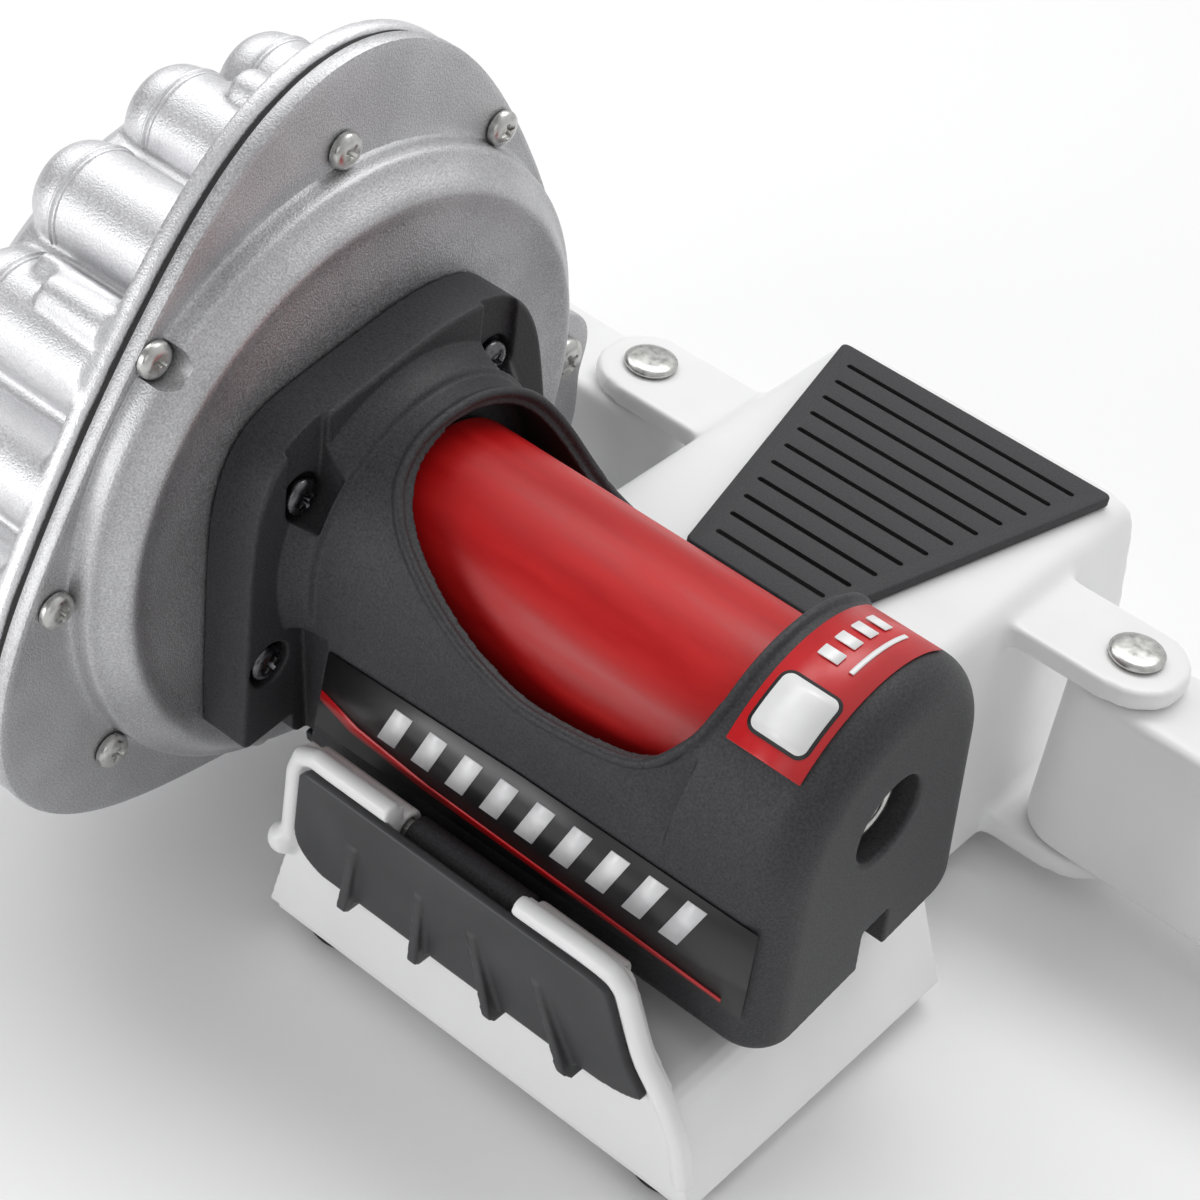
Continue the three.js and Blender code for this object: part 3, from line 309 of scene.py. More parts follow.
def cooling_pod(degrees):
    """A round pod whose rear end is domed."""
    rear = body_rear + 6
    front = body_flange_back + 1
    profile = [(rear, 0), (rear, pod_radius * 0.58), (rear + 1.2, pod_radius * 0.8),
               (rear + 3.4, pod_radius * 0.94), (rear + 6, pod_radius), (front, pod_radius), (front, 0)]
    return lathe(profile, polar(pod_ring, degrees), 40)


def pod_lip(degrees):
    """The fine double lip that stands out round a pod, where the die parts."""
    start = body_rear + lip_reach
    profile = [(start, pod_radius - 1), (start, pod_radius + 0.35), (start + 0.3, pod_radius + 0.55),
               (start + 0.7, pod_radius + 0.55), (start + 0.8, pod_radius + 0.1),
               (start + 1.1, pod_radius + 0.1), (start + 1.2, pod_radius + 0.35),
               (start + 1.7, pod_radius + 0.25), (start + 2, pod_radius - 1)]
    return lathe(profile, polar(pod_ring, degrees), 64, closed=True)


def rounded_block(low, high, soft):
    """A box between two corners, its edges softened at both ends along X."""
    (x0, y0, z0), (x1, y1, z1) = low, high
    rings = []
    for x, inset in ((x0, soft), (x0 + soft, 0), (x1 - soft, 0), (x1, soft)):
        rings.append([(x, y0 + inset, z0 + inset), (x, y1 - inset, z0 + inset),
                      (x, y1 - inset, z1 - inset), (x, y0 + inset, z1 - inset)])
    return skin(rings)


def turned_about_axis(shell, degrees):
    turn = Matrix.Rotation(math.radians(degrees), 4, "X")
    return [turn @ Vector(point) for point in shell[0]], shell[1]


body_shells = [
    lathe([(body_rear, 0), (body_rear, 50), (body_rear + 1.2, 54), (body_rear + 3.5, 58.5),
           (body_rear + 7, 61.5), (body_rear + 11, drum_radius), (body_front - 1, drum_radius),
           (body_front - 1, 0)], steps=128),
    lobed_plate(body_flange_back, body_front, 1.1),
    lathe([(body_rear - 1.5, 0), (body_rear - 1.5, 16), (body_rear - 0.6, 19), (body_rear + 3, 20.5),
           (body_rear + 3, 0)]),
]
pod_degrees = [360 * i / pod_count for i in range(pod_count)]
body_shells += [cooling_pod(degrees) for degrees in pod_degrees]
boss_back = body_flange_back - 16
boss = [(boss_back, 0), (boss_back, 3.6), (boss_back + 1, 4.6), (body_flange_back + 1, 5.2),
        (body_flange_back + 1, 0)]
body_shells += [lathe(boss, place, 32) for place in bolt_places + [polar(ear_ring, ear_degrees)]]
web = rounded_block((body_flange_back - 22, 58, -5.6), (body_flange_back + 1, 69, 5.6), 1)
body_shells += [turned_about_axis(web, degrees) for degrees in bolt_degrees]
spoke = rounded_block((body_rear - 1, 8, -1.6), (body_rear + 4, 53, 1.6), 0.8)
body_shells += [turned_about_axis(spoke, degrees) for degrees in range(30, 390, 60)]
# The body and its pod lips are faced in the paler copy of the casting finish, painted lighter for the light
# on the pods.
chamber_body = make_piece("chamber_body_casting", body_shells, painted_lit_aluminium)
melt(chamber_body, cell=0.75 * mm, rounds=4, share=0.6)
lips = make_piece("pod_lips", [pod_lip(degrees) for degrees in pod_degrees], painted_lit_aluminium)


def joined(name, pieces):
    """Several pieces of one finish joined into one."""
    bpy.ops.object.select_all(action="DESELECT")
    for piece in pieces:
        piece.select_set(True)
    bpy.context.view_layer.objects.active = pieces[0]
    bpy.ops.object.join()
    pieces[0].name = name
    return pieces[0]


chamber_body = joined("chamber_body_casting", [chamber_body, lips])
hand_over(chamber_body, "unit", "cast_aluminium", "chamber_body")

# Chamber gasket: a thin black rubber sheet, die cut and squeezed between the two castings, so
# that its edge lies just behind their rims and bulges a little here and there. The moulded rubber
# is matt, with a soft uneven surface.
# The same black rubber also faces the tread pad's grooves, where its darker tone is painted shade.
black_rubber_and_groove_shade = patterned("black_moulded_rubber_and_groove_shade", ("#1B1B1C", "#2A2A2B"), grain=0.6 * mm, bump=(0.3, 0.08 * mm),
                   Roughness=0.78)
gasket_back = -4.7
gasket_front = -3.9
gasket_set_back = 0.9
squeeze = 0.35


def gasket_ring(station):
    ring = []
    for degrees in outline_turn:
        wave = squeeze * noise.noise(Vector((*polar(9, degrees), 0)))
        ring.append((station, *polar(chamber_edge(degrees) - gasket_set_back + wave, degrees)))
    return ring


gasket_stations = [gasket_back - 0.2, gasket_back, gasket_front, gasket_front + 0.2]
gasket_skin = skin([gasket_ring(station) for station in gasket_stations])
gasket = make_piece("chamber_gasket_sheet", [gasket_skin], black_rubber_and_groove_shade)
hand_over(gasket, "unit", "gasket_rubber", "chamber_gasket")

# Chamber cover: the front casting, a dished face on two rounded steps inside the lobed flange.
# It is bead blasted like the body, and drawn from the middle outwards in rings.
cover_back = -3.6
rim_soft = 0.8
cover_profile = [(0, 8.2), (30, 8.2), (50, 8.3), (54.5, 8.45), (56.6, 8.75), (58.2, 9.2), (59.4, 9.5),
                 (60.3, 9.6), (61.1, 9.4), (61.8, 8.9), (62.6, 7.95), (63.5, 6.9), (64.4, 5.95),
                 (65.2, 5.3), (65.9, 4.95), (66.4, 4.7), (66.8, 4.3), (67.05, 3.7), (67.2, 2.6),
                 (67.3, 1.4), (67.45, 0.7), (67.75, 0.22), (68.2, 0.04)]
flange_rings = 14


def cover_ring(radius, station):
    return [(station, y, z) for y, z in circle(radius, outline_steps)]


cover_rings = [cover_ring(max(radius, 0.01), station) for radius, station in cover_profile]
dome_edge = cover_profile[-1][0]
for step in range(1, flange_rings + 1):
    share = step / flange_rings
    ring = []
    for degrees in outline_turn:
        reach = dome_edge + (chamber_edge(degrees) - rim_soft * 1.2 - dome_edge) * share
        ring.append((0, *polar(reach, degrees)))
    cover_rings.append(ring)
rim_middle = rim_soft * (1 - math.sqrt(0.5))
rim_edge = [(-rim_middle, rim_middle), (-rim_soft, 0), (cover_back + rim_soft, 0),
            (cover_back + rim_middle, rim_middle), (cover_back, rim_soft * 1.2)]
cover_rings += [lobed_ring(station, inset) for station, inset in rim_edge]
cover_rings += [cover_ring(30, cover_back), cover_ring(0.01, cover_back)]
chamber_cover = make_piece("chamber_cover_casting", [skin(cover_rings)], aluminium)
# The screws between the lobes stand partly on the dome's step, which is spot-faced for their heads.
head_seat = [(0.05, 0), (0.05, 4.1), (6.4, 4.3), (6.4, 0)]
inner_places = [place for place in bolt_places if math.hypot(*place) < bolt_ring - 1]
carve(chamber_cover, [lathe(head_seat, place, 48) for place in inner_places])
chamber_cover.data.set_sharp_from_angle(angle=math.radians(35))
hand_over(chamber_cover, "unit", "cast_aluminium", "chamber_cover")

# Screws: cross-recessed pan heads, cold headed from steel. The seven round the cover and the
# larger one on the ear are bright zinc plated, and the four in the housing's flange darker.


def plated_steel(name, low, high, roughness):
    """Plated steel: bright, with a fine cloud of wear in its polish."""
    return patterned(name, (low, high), grain=1.6 * mm, detail=4, rough=(roughness - 0.06, roughness + 0.1),
                     bump=(0.15, 0.03 * mm), Metallic=1, Roughness=roughness)


zinc = plated_steel("bright_zinc_plated_steel", "#B9B9B6", "#D6D6D3", 0.3)
dark_chromate = plated_steel("dark_chromated_steel", "#4A4A4D", "#77777A", 0.26)


def pan_screw(name, head, height, material, shank=1.8, length=12):
    """One screw with its seat at station zero: domed head, cross recess, plain shank."""
    dome = [(-length, 0), (-length, shank * 0.8), (-length + 0.6, shank), (0, shank), (0, head - 0.25),
            (0.25, head), (height * 0.38, head)]
    for turn in (15, 30, 45, 60, 75, 88):
        angle = math.radians(turn)
        dome.append((height * (0.38 + 0.62 * math.sin(angle)), head * (0.42 + 0.58 * math.cos(angle))))
    dome.append((height, 0))
    screw = make_piece(name, [lathe(dome, steps=48)], material, to_metres)
    arm = head * 0.56
    wing = head * 0.13
    heart = head * 0.22
    floor = height * 0.35
    above = height + 1
    cuts = []
    for across, up in ((arm, wing), (wing, arm)):
        ends = ((-across, -up), (across, -up), (across, up), (-across, up))
        cuts.append(skin([[(floor, y * 0.55, z * 0.7) for y, z in ends], [(above, y, z) for y, z in ends]]))
    cuts.append(lathe([(floor, 0), (floor, heart * 0.6), (above, heart * 1.3), (above, 0)], steps=16))
    carve(screw, cuts, place=to_metres)
    bevel(screw, 0.09 * mm, 40)
    return screw


def set_of_screws(name, screw, places, spins):
    """Puts a copy of a screw at each place and spin, by Geometry Nodes, as one mesh."""
    mesh = bpy.data.meshes.new(name)
    mesh.from_pydata([swing_place @ Vector(place) for place in places], [], [])
    turn = mesh.attributes.new("spin", "FLOAT", "POINT")
    turn.data.foreach_set("value", [math.radians(spin) for spin in spins])
    piece = add_object(name, mesh)
    tree = bpy.data.node_groups.new(name, "GeometryNodeTree")
    tree.interface.new_socket("Points", in_out="INPUT", socket_type="NodeSocketGeometry")
    tilt = tree.interface.new_socket("Tilt", in_out="INPUT", socket_type="NodeSocketFloat")
    chosen = tree.interface.new_socket("Screw", in_out="INPUT", socket_type="NodeSocketObject")
    tree.interface.new_socket("Screws", in_out="OUTPUT", socket_type="NodeSocketGeometry")
    given = add_node(tree, "NodeGroupInput")
    held = add_node(tree, "GeometryNodeObjectInfo", {"Object": given.outputs["Screw"]})
    spin = add_node(tree, "GeometryNodeInputNamedAttribute", {"Name": "spin"}, data_type="FLOAT")
    lean = add_node(tree, "ShaderNodeMath", {0: spin.outputs["Attribute"], 1: given.outputs["Tilt"]},
                    operation="ADD")
    angles = add_node(tree, "ShaderNodeCombineXYZ", {"X": lean.outputs["Value"]})
    turned = add_node(tree, "FunctionNodeEulerToRotation", {"Euler": angles.outputs["Vector"]})
    copies = add_node(tree, "GeometryNodeInstanceOnPoints", {"Points": given.outputs["Points"],
                      "Instance": held.outputs["Geometry"], "Rotation": turned.outputs["Rotation"]})
    real = add_node(tree, "GeometryNodeRealizeInstances", {"Geometry": copies.outputs["Instances"]})
    coated = add_node(tree, "GeometryNodeSetMaterial", {"Geometry": real.outputs["Geometry"],
                      "Material": screw.data.materials[0]})
    add_node(tree, "NodeGroupOutput", {"Screws": coated.outputs["Geometry"]})
    step = piece.modifiers.new("screws", "NODES")
    step.node_group = tree
    step[tilt.identifier] = rest_tilt
    step[chosen.identifier] = screw
    settle(piece)
    bpy.data.objects.remove(screw)
    return piece


cover_seat = 0.25
spin_share = 137.5
cover_places = [(cover_seat, *place) for place in bolt_places]
cover_spins = [spin_share * (i + 1) for i in range(len(cover_places))]
cover_screws = set_of_screws("cover_screws", pan_screw("cover_screw", 3.7, 2.4, zinc),
                             cover_places, cover_spins)
hand_over(cover_screws, "unit", "zinc_steel", *[f"chamber_screw_{i + 1}" for i in range(len(cover_places))])
ear_screw = set_of_screws("ear_screw_zinc", pan_screw("ear_screw_one", 5, 3.1, zinc),
                          [(cover_seat, *polar(ear_ring, ear_degrees))], [20])
hand_over(ear_screw, "unit", "zinc_steel", "ear_screw")
flange_front = 20
pocket_floor = 17.6
flange_places = [(26, 19), (-26, 19), (37, -17), (-37, -17)]
flange_spins = [50, 12, 64, 33]
flange_screw = pan_screw("flange_screw_one", 4, 2.4, dark_chromate, length=10)
flange_seats = [(pocket_floor + 0.2, *place) for place in flange_places]
flange_screws = set_of_screws("flange_screws", flange_screw, flange_seats, flange_spins)
hand_over(flange_screws, "unit", "dark_steel", *[f"flange_screw_{i + 1}" for i in range(4)])

# Roller housing: one black moulding of glass-filled nylon, spark-eroded to a fine matt. A lobed
# flange, a stepped collar, and an arch with a beaded window over the roller and a rounded end.


def eroded_nylon():
    """Glass-filled nylon from a spark-eroded tool: matt dark grey with a fine even grain."""
    grain_size = 0.34 * mm
    fleck_size = 0.5 * mm
    material, tree, shader, place = new_finish("black_eroded_nylon", Roughness=0.55, Specular_IOR_Level=0.42)
    fleck = add_node(tree, "ShaderNodeTexNoise", {"Vector": place, "Scale": 1 / fleck_size, "Detail": 4})
    two_tones(tree, shader, fleck.outputs["Fac"], "#232325", "#3C3C3F")
    grain = add_node(tree, "ShaderNodeTexNoise", {"Vector": place, "Scale": 1 / grain_size, "Detail": 2})
    vary(tree, shader, grain.outputs["Fac"], (0.48, 0.64), (0.7, 0.12 * mm))
    return material


nylon = eroded_nylon()
housing_back = 8.7
housing_end = 136.6
end_soft = 8
arch_radius = 30.3
bottom_half = 32
housing_bottom = -42
roller_radius = 22.5
bay_radius = 27.7
bay_from = 25.8
bay_to = 115.2
arch_steps = 72
side_steps = 12
corner_radius = 3
wall_flare = (bottom_half - arch_radius) / -housing_bottom


def arch_ring(station, inset):
    """The housing's section: a round arch on slightly flared walls, with soft bottom corners."""
    radius = arch_radius - inset
    ring = [(station, *polar(radius, 180 * i / arch_steps)) for i in range(arch_steps + 1)]
    side = []
    for i in range(1, side_steps + 1):
        z = (housing_bottom + corner_radius) * i / side_steps
        side.append((radius - wall_flare * z, z))
    low_half = side[-1][0]
    for i in range(1, 7):
        y, z = polar(corner_radius, -15 * i)
        side.append((low_half - corner_radius + y, housing_bottom + corner_radius + z))
    ring += [(station, -y, z) for y, z in side]
    ring += [(station, y, z) for y, z in reversed(side)]
    return ring


housing_rings = [arch_ring(housing_back, 0), arch_ring(flange_front, 0), arch_ring(housing_end - end_soft, 0)]
for turn in range(10, 91, 10):
    away = end_soft * (1 - math.cos(math.radians(turn)))
    housing_rings.append(arch_ring(housing_end - end_soft + end_soft * math.sin(math.radians(turn)), away))
housing = make_piece("roller_housing_moulding", [skin(housing_rings)], nylon)

flange_side = [(45, -36, 2.5), (43.4, -18, 12), (41, 7, 14), (38.5, 21, 10), (33, 31, 8), (24, 35.4, 10)]
flange_corner_steps = 8


def rounded_outline(corners):
    """Points of an outline whose corners are rounded, each by its own reach."""
    points = []
    for i, (y, z, reach) in enumerate(corners):
        corner = Vector((y, z))
        before = Vector(corners[i - 1][:2])
        after = Vector(corners[(i + 1) % len(corners)][:2])
        start = corner + (before - corner).normalized() * min(reach, (before - corner).length * 0.48)
        end = corner + (after - corner).normalized() * min(reach, (after - corner).length * 0.48)
        for step in range(flange_corner_steps + 1):
            t = step / flange_corner_steps
            points.append(start * (1 - t) ** 2 + corner * 2 * t * (1 - t) + end * t ** 2)
    return points


def drawn_in(outline, inset):
    """The same outline moved inwards along its own normals; it runs anticlockwise."""
    moved = []
    for i, point in enumerate(outline):
        along = outline[(i + 1) % len(outline)] - outline[i - 1]
        normal = Vector((-along.y, along.x)).normalized()
        moved.append(point + normal * inset)
    return moved


flange_far_side = [(-y, z, reach) for y, z, reach in reversed(flange_side)]
flange_outline = rounded_outline(flange_side + [(12, 37.3, 8)] + flange_far_side)
flange_edge = [(housing_back, 0), (flange_front - 0.7, 0), (flange_front - 0.25, 0.2), (flange_front, 0.7)]
flange = skin([[(station, y, z) for y, z in drawn_in(flange_outline, inset)]
               for station, inset in flange_edge])
collar = lathe([(housing_back, 0), (housing_back, 34), (20.4, 34), (21, 33.4), (22, 32.7), (23.4, 32.1),
                (24.8, 31.7), (25.3, 31.4), (25.6, 30.8), (25.7, 29.9), (25.7, 0)], steps=128)
carve(housing, [flange, collar], "UNION")


def curve_through(points, per_span):
    """Points of a smooth Catmull-Rom curve through the given ones."""
    ends = [2 * points[0] - points[1]] + points + [2 * points[-1] - points[-2]]
    curve = []
    for i in range(1, len(ends) - 2):
        a, b, c, d = ends[i - 1:i + 3]
        for step in range(per_span):
            t = step / per_span
            curve.append(0.5 * (2 * b + (c - a) * t + (2 * a - 5 * b + 4 * c - d) * t ** 2
                                + (3 * b - 3 * c + d - a) * t ** 3))
    return curve + [points[-1]]


window_to = 111
rim_start = (31.6, arch_radius - 0.01)
rim_stop = (window_to, 25.5)
near_rim = [rim_start, (32, 28.8), (34, 25.9), (37.3, 23), (42.6, 19.5), (54.3, 13.6), (65.6, 9.4),
            (78.6, 7.4), (99.7, 10.9), (108.6, 18.8), rim_stop]
far_rim = [rim_start, (32.4, 25.8), (34.9, 13.6), (42.2, 2.4), (54.3, -3.9), (78.6, -6.1), (99.7, -1.8),
           (108.6, 12.1), rim_stop]
near_curve, far_curve = [curve_through([Vector(point) for point in rim], 12) for rim in (near_rim, far_rim)]
clear_height = 60


def window_cut(curve, side):
    """Cuts one side of the arch away above its rim; the far rim hangs lower, behind the roller."""
    past_middle = 2 * -side
    outline = [(x, past_middle, z) for x, z in curve]
    outline += [(window_to, past_middle, clear_height), (rim_start[0], past_middle, clear_height)]
    return skin([outline, [(x, side * clear_height, z) for x, y, z in outline]])


below = housing_bottom - 2
housing_cuts = [window_cut(near_curve, -1), window_cut(far_curve, 1)]
# Beside the lower flange screws the side walls step back to a web, whose edge slants.
web_back = flange_front + 0.05
web_outline = [(web_back, -10.4), (29.1, -8.6), (25.3, -36), (24.4, below), (web_back, below)]
web_face = 28.2
past_wall = 40
for side in (-1, 1):
    housing_cuts.append(skin([[(x, side * y, z) for x, z in web_outline] for y in (web_face, past_wall)]))
hole_radius = 9.2
bay = [(bay_from, 0), (bay_from, bay_radius), (bay_to, bay_radius), (bay_to, 0)]
hole = [(125.4, 0), (125.4, hole_radius), (housing_end - 0.6, hole_radius),
        (housing_end + 1, hole_radius + 1.4), (housing_end + 1, 0)]
bore = [(100, 0), (100, 8.2), (126, 8.2), (126, 0)]
notch = rounded_block((housing_end - 7, -2, below), (housing_end + 2, 6, housing_bottom + 11), 0.2)
base = rounded_block((bay_from, -27, below), (bay_to, 27, housing_bottom + 4), 1)
housing_cuts += [lathe(bay, steps=128), lathe(hole, steps=72), lathe(bore), notch, base]
pocket_radius = 5
pocket_top = flange_front + 5
slot_floor = 18.4
slot_reach = 24
slot_lean = 6
well = [(pocket_floor - 1, 0), (pocket_floor - 1, pocket_radius), (pocket_top, pocket_radius),
        (pocket_top, 0)]
for y, z in flange_places:
    housing_cuts.append(lathe(well, (y, z), 48))
    if z > 0:
        # The upper pockets run straight up as shallow slots, out through the flange's edge.
        out_y, out_z = polar(slot_reach, 90 - slot_lean)
        side_y, side_z = polar(pocket_radius - 0.05, -slot_lean)
        slot = [(y - side_y, z - side_z), (y + side_y, z + side_z),
                (y + out_y + side_y, z + out_z + side_z), (y + out_y - side_y, z + out_z - side_z)]
        slot_ends = [[(station, b, c) for b, c in slot] for station in (slot_floor, pocket_top)]
        housing_cuts.append(skin(slot_ends))
carve(housing, housing_cuts)

# A shallow facet, cut by a wedge, creases the near wall below the window's end.
crease = [Vector((94.6, -28.9, 9.4)), Vector((111.5, -23, 20)), Vector((109.2, -30.7, -6.4))]
crease_shift = 0.5
crease_width = 20
outwards = -(crease[1] - crease[0]).cross(crease[2] - crease[0]).normalized()
facet = [tuple(point + outwards * crease_shift) for point in crease]
carve(housing, [skin([facet, [(x, y - crease_width, z) for x, y, z in facet]])])


def bead(path, radius, around=12):
    """A round bead along a closed path of points."""
    rings = []
    for i, point in enumerate(path):
        along = (path[(i + 1) % len(path)] - path[i - 1]).normalized()
        side = along.cross(Vector((1, 0, 0)) if abs(along.x) < 0.8 else Vector((0, 1, 0))).normalized()
        up = side.cross(along)
        rings.append([tuple(point + side * a + up * b) for a, b in circle(radius, around)])
    return skin(rings + rings[:1], capped=False)


def wall_half(z):
    """Half the housing's width at a height: round above the roller's axis, slightly flared below."""
    return math.sqrt(max(arch_radius ** 2 - z ** 2, 0)) if z > 0 else arch_radius - wall_flare * z


bead_path = [Vector((x, -wall_half(z), z)) for x, z in near_curve]
edge_angle = math.degrees(math.acos(rim_stop[1] / arch_radius))
for i in range(1, 24):
    bead_path.append(Vector((window_to, *polar(arch_radius, 90 + edge_angle * (1 - i / 12)))))
bead_path += [Vector((x, wall_half(z), z)) for x, z in reversed(far_curve[1:])]
bead_radius = 1.05
lip = make_piece("lip", [bead(bead_path, bead_radius)], nylon)
housing = joined("roller_housing_moulding", [housing, lip])
melt(housing, cell=0.34 * mm, rounds=5, share=0.16)
hand_over(housing, "unit", "black_plastic", "roller_housing")

# Bottom cover of the housing: a flat black moulding screwed under the bay, whose arm reaches out
# to the hinge knuckle that the whole unit swings on. It keeps the CAD form, with softer edges.


def remould(name, node, body, slot, material, cell, rounds, share):
    """A moulded skin over a CAD node's own form, for parts whose only curves are small ones."""
    form = bmesh.new()
    form.from_mesh(frame["nodes"][node].data)
    bmesh.ops.remove_doubles(form, verts=form.verts, dist=0.001 * mm)
    mesh = bpy.data.meshes.new(name)
    form.to_mesh(mesh)
    form.free()
    mesh.materials.append(material)
    piece = add_object(name, mesh)
    melt(piece, cell, rounds, share)
    hand_over(piece, body, slot, node)


remould("housing_bottom_cover_moulding", "housing_bottom_cover", "unit", "black_plastic", nylon,
        cell=0.6 * mm, rounds=5, share=0.5)

# Roller: a cast aluminium core with a bonded sleeve of red elastomer, moulded smooth and satin,
# its shoulders rounded. Use leaves faint paler scuffs along it.


def red_elastomer():
    """Red polyurethane elastomer: satin, a little worn, with faint pale scuffs along the roller."""
    scuff_length = 26 * mm
    scuff_height = 5 * mm
    mottle_size = 1.1 * mm
    material, tree, shader, place = new_finish("red_satin_elastomer", Roughness=0.4, Specular_IOR_Level=0.34)
    stretch = add_node(tree, "ShaderNodeMapping", {"Vector": place,
                       "Scale": (1 / scuff_length, 1 / scuff_height, 1 / scuff_height)})
    scuff = add_node(tree, "ShaderNodeTexNoise", {"Vector": stretch.outputs["Vector"], "Scale": 1,
                     "Detail": 5})
    two_tones(tree, shader, scuff.outputs["Fac"], "#AE1013", "#C81A1A", 0.3, 0.8)
    vary(tree, shader, scuff.outputs["Fac"], (0.33, 0.5), start=0.35)
    mottle = add_node(tree, "ShaderNodeTexNoise", {"Vector": place, "Scale": 1 / mottle_size, "Detail": 3})
    vary(tree, shader, mottle.outputs["Fac"], bump=(0.12, 0.12 * mm))
    return material


elastomer = red_elastomer()
sleeve_from = 27
sleeve_to = 114
sleeve_inner = 18.8
shoulder = [(0, 1.2), (0.35, 0.5), (0.9, 0.12), (1.6, 0)]
sleeve_profile = [(sleeve_from, sleeve_inner)]
sleeve_profile += [(sleeve_from + away, roller_radius - drop) for away, drop in shoulder]
sleeve_profile += [(sleeve_to - away, roller_radius - drop) for away, drop in reversed(shoulder)]
sleeve_profile.append((sleeve_to, sleeve_inner))
sleeve = make_piece("roller_sleeve_elastomer", [lathe(sleeve_profile, steps=192, closed=True)], elastomer)
hand_over(sleeve, "rotor", "red_elastomer", "roller_sleeve")
core_profile = [(27.2, 5.4), (27.2, 9), (28.4, 9), (29.6, 10), (29.6, 15), (28.4, 16), (27.2, 16.4),
                (27.2, 18.4), (113.8, 18.4), (113.8, 16.4), (112.6, 16), (111.4, 15), (111.4, 10), (112.6, 9),
                (113.8, 9), (113.8, 5.4)]
core = make_piece("roller_core_casting", [lathe(core_profile, steps=96, closed=True)], aluminium)
hand_over(core, "rotor", "cast_aluminium", "roller_core")

# Shaft and nut: a ground steel shaft through the roller and the impeller, threaded at its end for
# a chamfered hexagon nut, which shows down the hole in the housing's end.
nut_from = 126.2
nut_to = 132.3
thread_from = 124
thread_pitch = 1.25
shaft_profile = [(-43, 0), (-43, 4.4), (-42.4, 5), (thread_from, 5)]
for i in range(int((nut_to + 0.2 - thread_from) / thread_pitch)):
    start = thread_from + i * thread_pitch
    shaft_profile += [(start + thread_pitch * 0.15, 4.95), (start + thread_pitch * 0.5, 4.3),
                      (start + thread_pitch * 0.65, 4.3), (start + thread_pitch, 4.95)]
shaft_profile += [(nut_to - 0.2, 4.6), (nut_to + 0.25, 3.9), (nut_to + 0.25, 1.6), (nut_to - 1.2, 0.4),
                  (nut_to - 1.4, 0)]
shaft = make_piece("shaft_steel", [lathe(shaft_profile)], zinc)
hand_over(shaft, "rotor", "zinc_steel", "shaft")
nut_reach = 7.9
nut_steps = 96
nut_rings = []
for station, limit in ((nut_from, 0.9), (nut_from + 0.7, 1), (nut_to - 0.7, 1), (nut_to, 0.9)):
    ring = []
    for i in range(nut_steps):
        degrees = 360 * i / nut_steps
        flat = math.cos(math.radians(30)) / math.cos(math.radians((degrees % 60) - 30))
        ring.append((station, *polar(nut_reach * min(flat, limit * 0.985), degrees)))
    nut_rings.append(ring)
for station, radius in ((nut_to, 6), (nut_to - 0.6, 5.35), (nut_from + 0.4, 5.35)):
    nut_rings.append([(station, y, z) for y, z in circle(radius, nut_steps)])
nut = make_piece("shaft_nut_hexagon", [skin(nut_rings + nut_rings[:1], capped=False)], zinc)
hand_over(nut, "rotor", "zinc_steel", "shaft_nut")

# Printed films: clear-coated vinyl, die cut and stuck on. A black one with pale and red bars on
# the side wall, and a red one over the arch beside the window, both with generic blocks only.


def printed_film(name, tone, deep, roughness):
    """Printed vinyl film under a clear gloss coat, with slight ripples from the wall below."""
    return patterned(name, (deep, tone), grain=9 * mm, detail=2, bump=(0.25, 0.3 * mm), Roughness=roughness,
                     Coat_Weight=0.35, Coat_Roughness=0.28)


black_film = printed_film("black_printed_vinyl", "#1D1D1F", "#121213", 0.42)
red_film = printed_film("red_printed_vinyl", "#CB161D", "#BE1218", 0.38)
white_ink = printed_film("white_printed_ink", "#F2F2F2", "#E8E8E8", 0.4)
silver_ink = printed_film("silver_printed_ink", "#F4F4F4", "#D8D8DA", 0.36)
film_depth = 0.16
film_gap = 0.02
film_lift = 0.32
ink_lift = film_lift + film_depth + film_gap


def wall_film(name, outline, lift, material):
    """A thin film on the near side wall, from points given along it and up it."""
    under = [(x, -wall_half(z) - lift, z) for x, z in outline]
    return make_piece(name, [skin([under, [(x, y - film_depth, z) for x, y, z in under]])], material)


def slanted_bar(start, width, low, top):
    """Outline of a bar along X whose ends lean forwards by 4 mm in 10 mm of height."""
    lean = 4 * ((top - low) / 10)
    return [(start, low), (start + width, low), (start + width + lean, top), (start + lean, top)]


label_outline = [(26.6, -33), (34, -33.4), (128, -31.6), (131.6, -31), (132.2, -7.2), (77, -8.1), (59, -9.1),
                 (30, -10.5)]
side_label = wall_film("side_label_film", label_outline, film_lift, black_film)
hand_over(side_label, "unit", "black_film", "side_label")
bar_count = 9
bar_pitch = 8.6
bar_width = 4.4
pale_bars = []
for i in range(bar_count):
    outline = slanted_bar(43 + bar_pitch * i, bar_width, -24 + 0.1 * i, -13.2 + 0.4 * i)
    pale_bars.append(wall_film("bar", outline, ink_lift, silver_ink))
red_outline = [(28, -24.7), (28.5, -21.9), (38, -25.4), (56, -27.6), (127, -29.2), (127, -30.2), (55, -29.6),
               (36, -28)]
red_bar = wall_film("side_label_red_bar", red_outline, ink_lift, red_film)
hand_over(joined("side_label_silver_bars", pale_bars), "unit", "black_film")
hand_over(red_bar, "unit", "red_film")


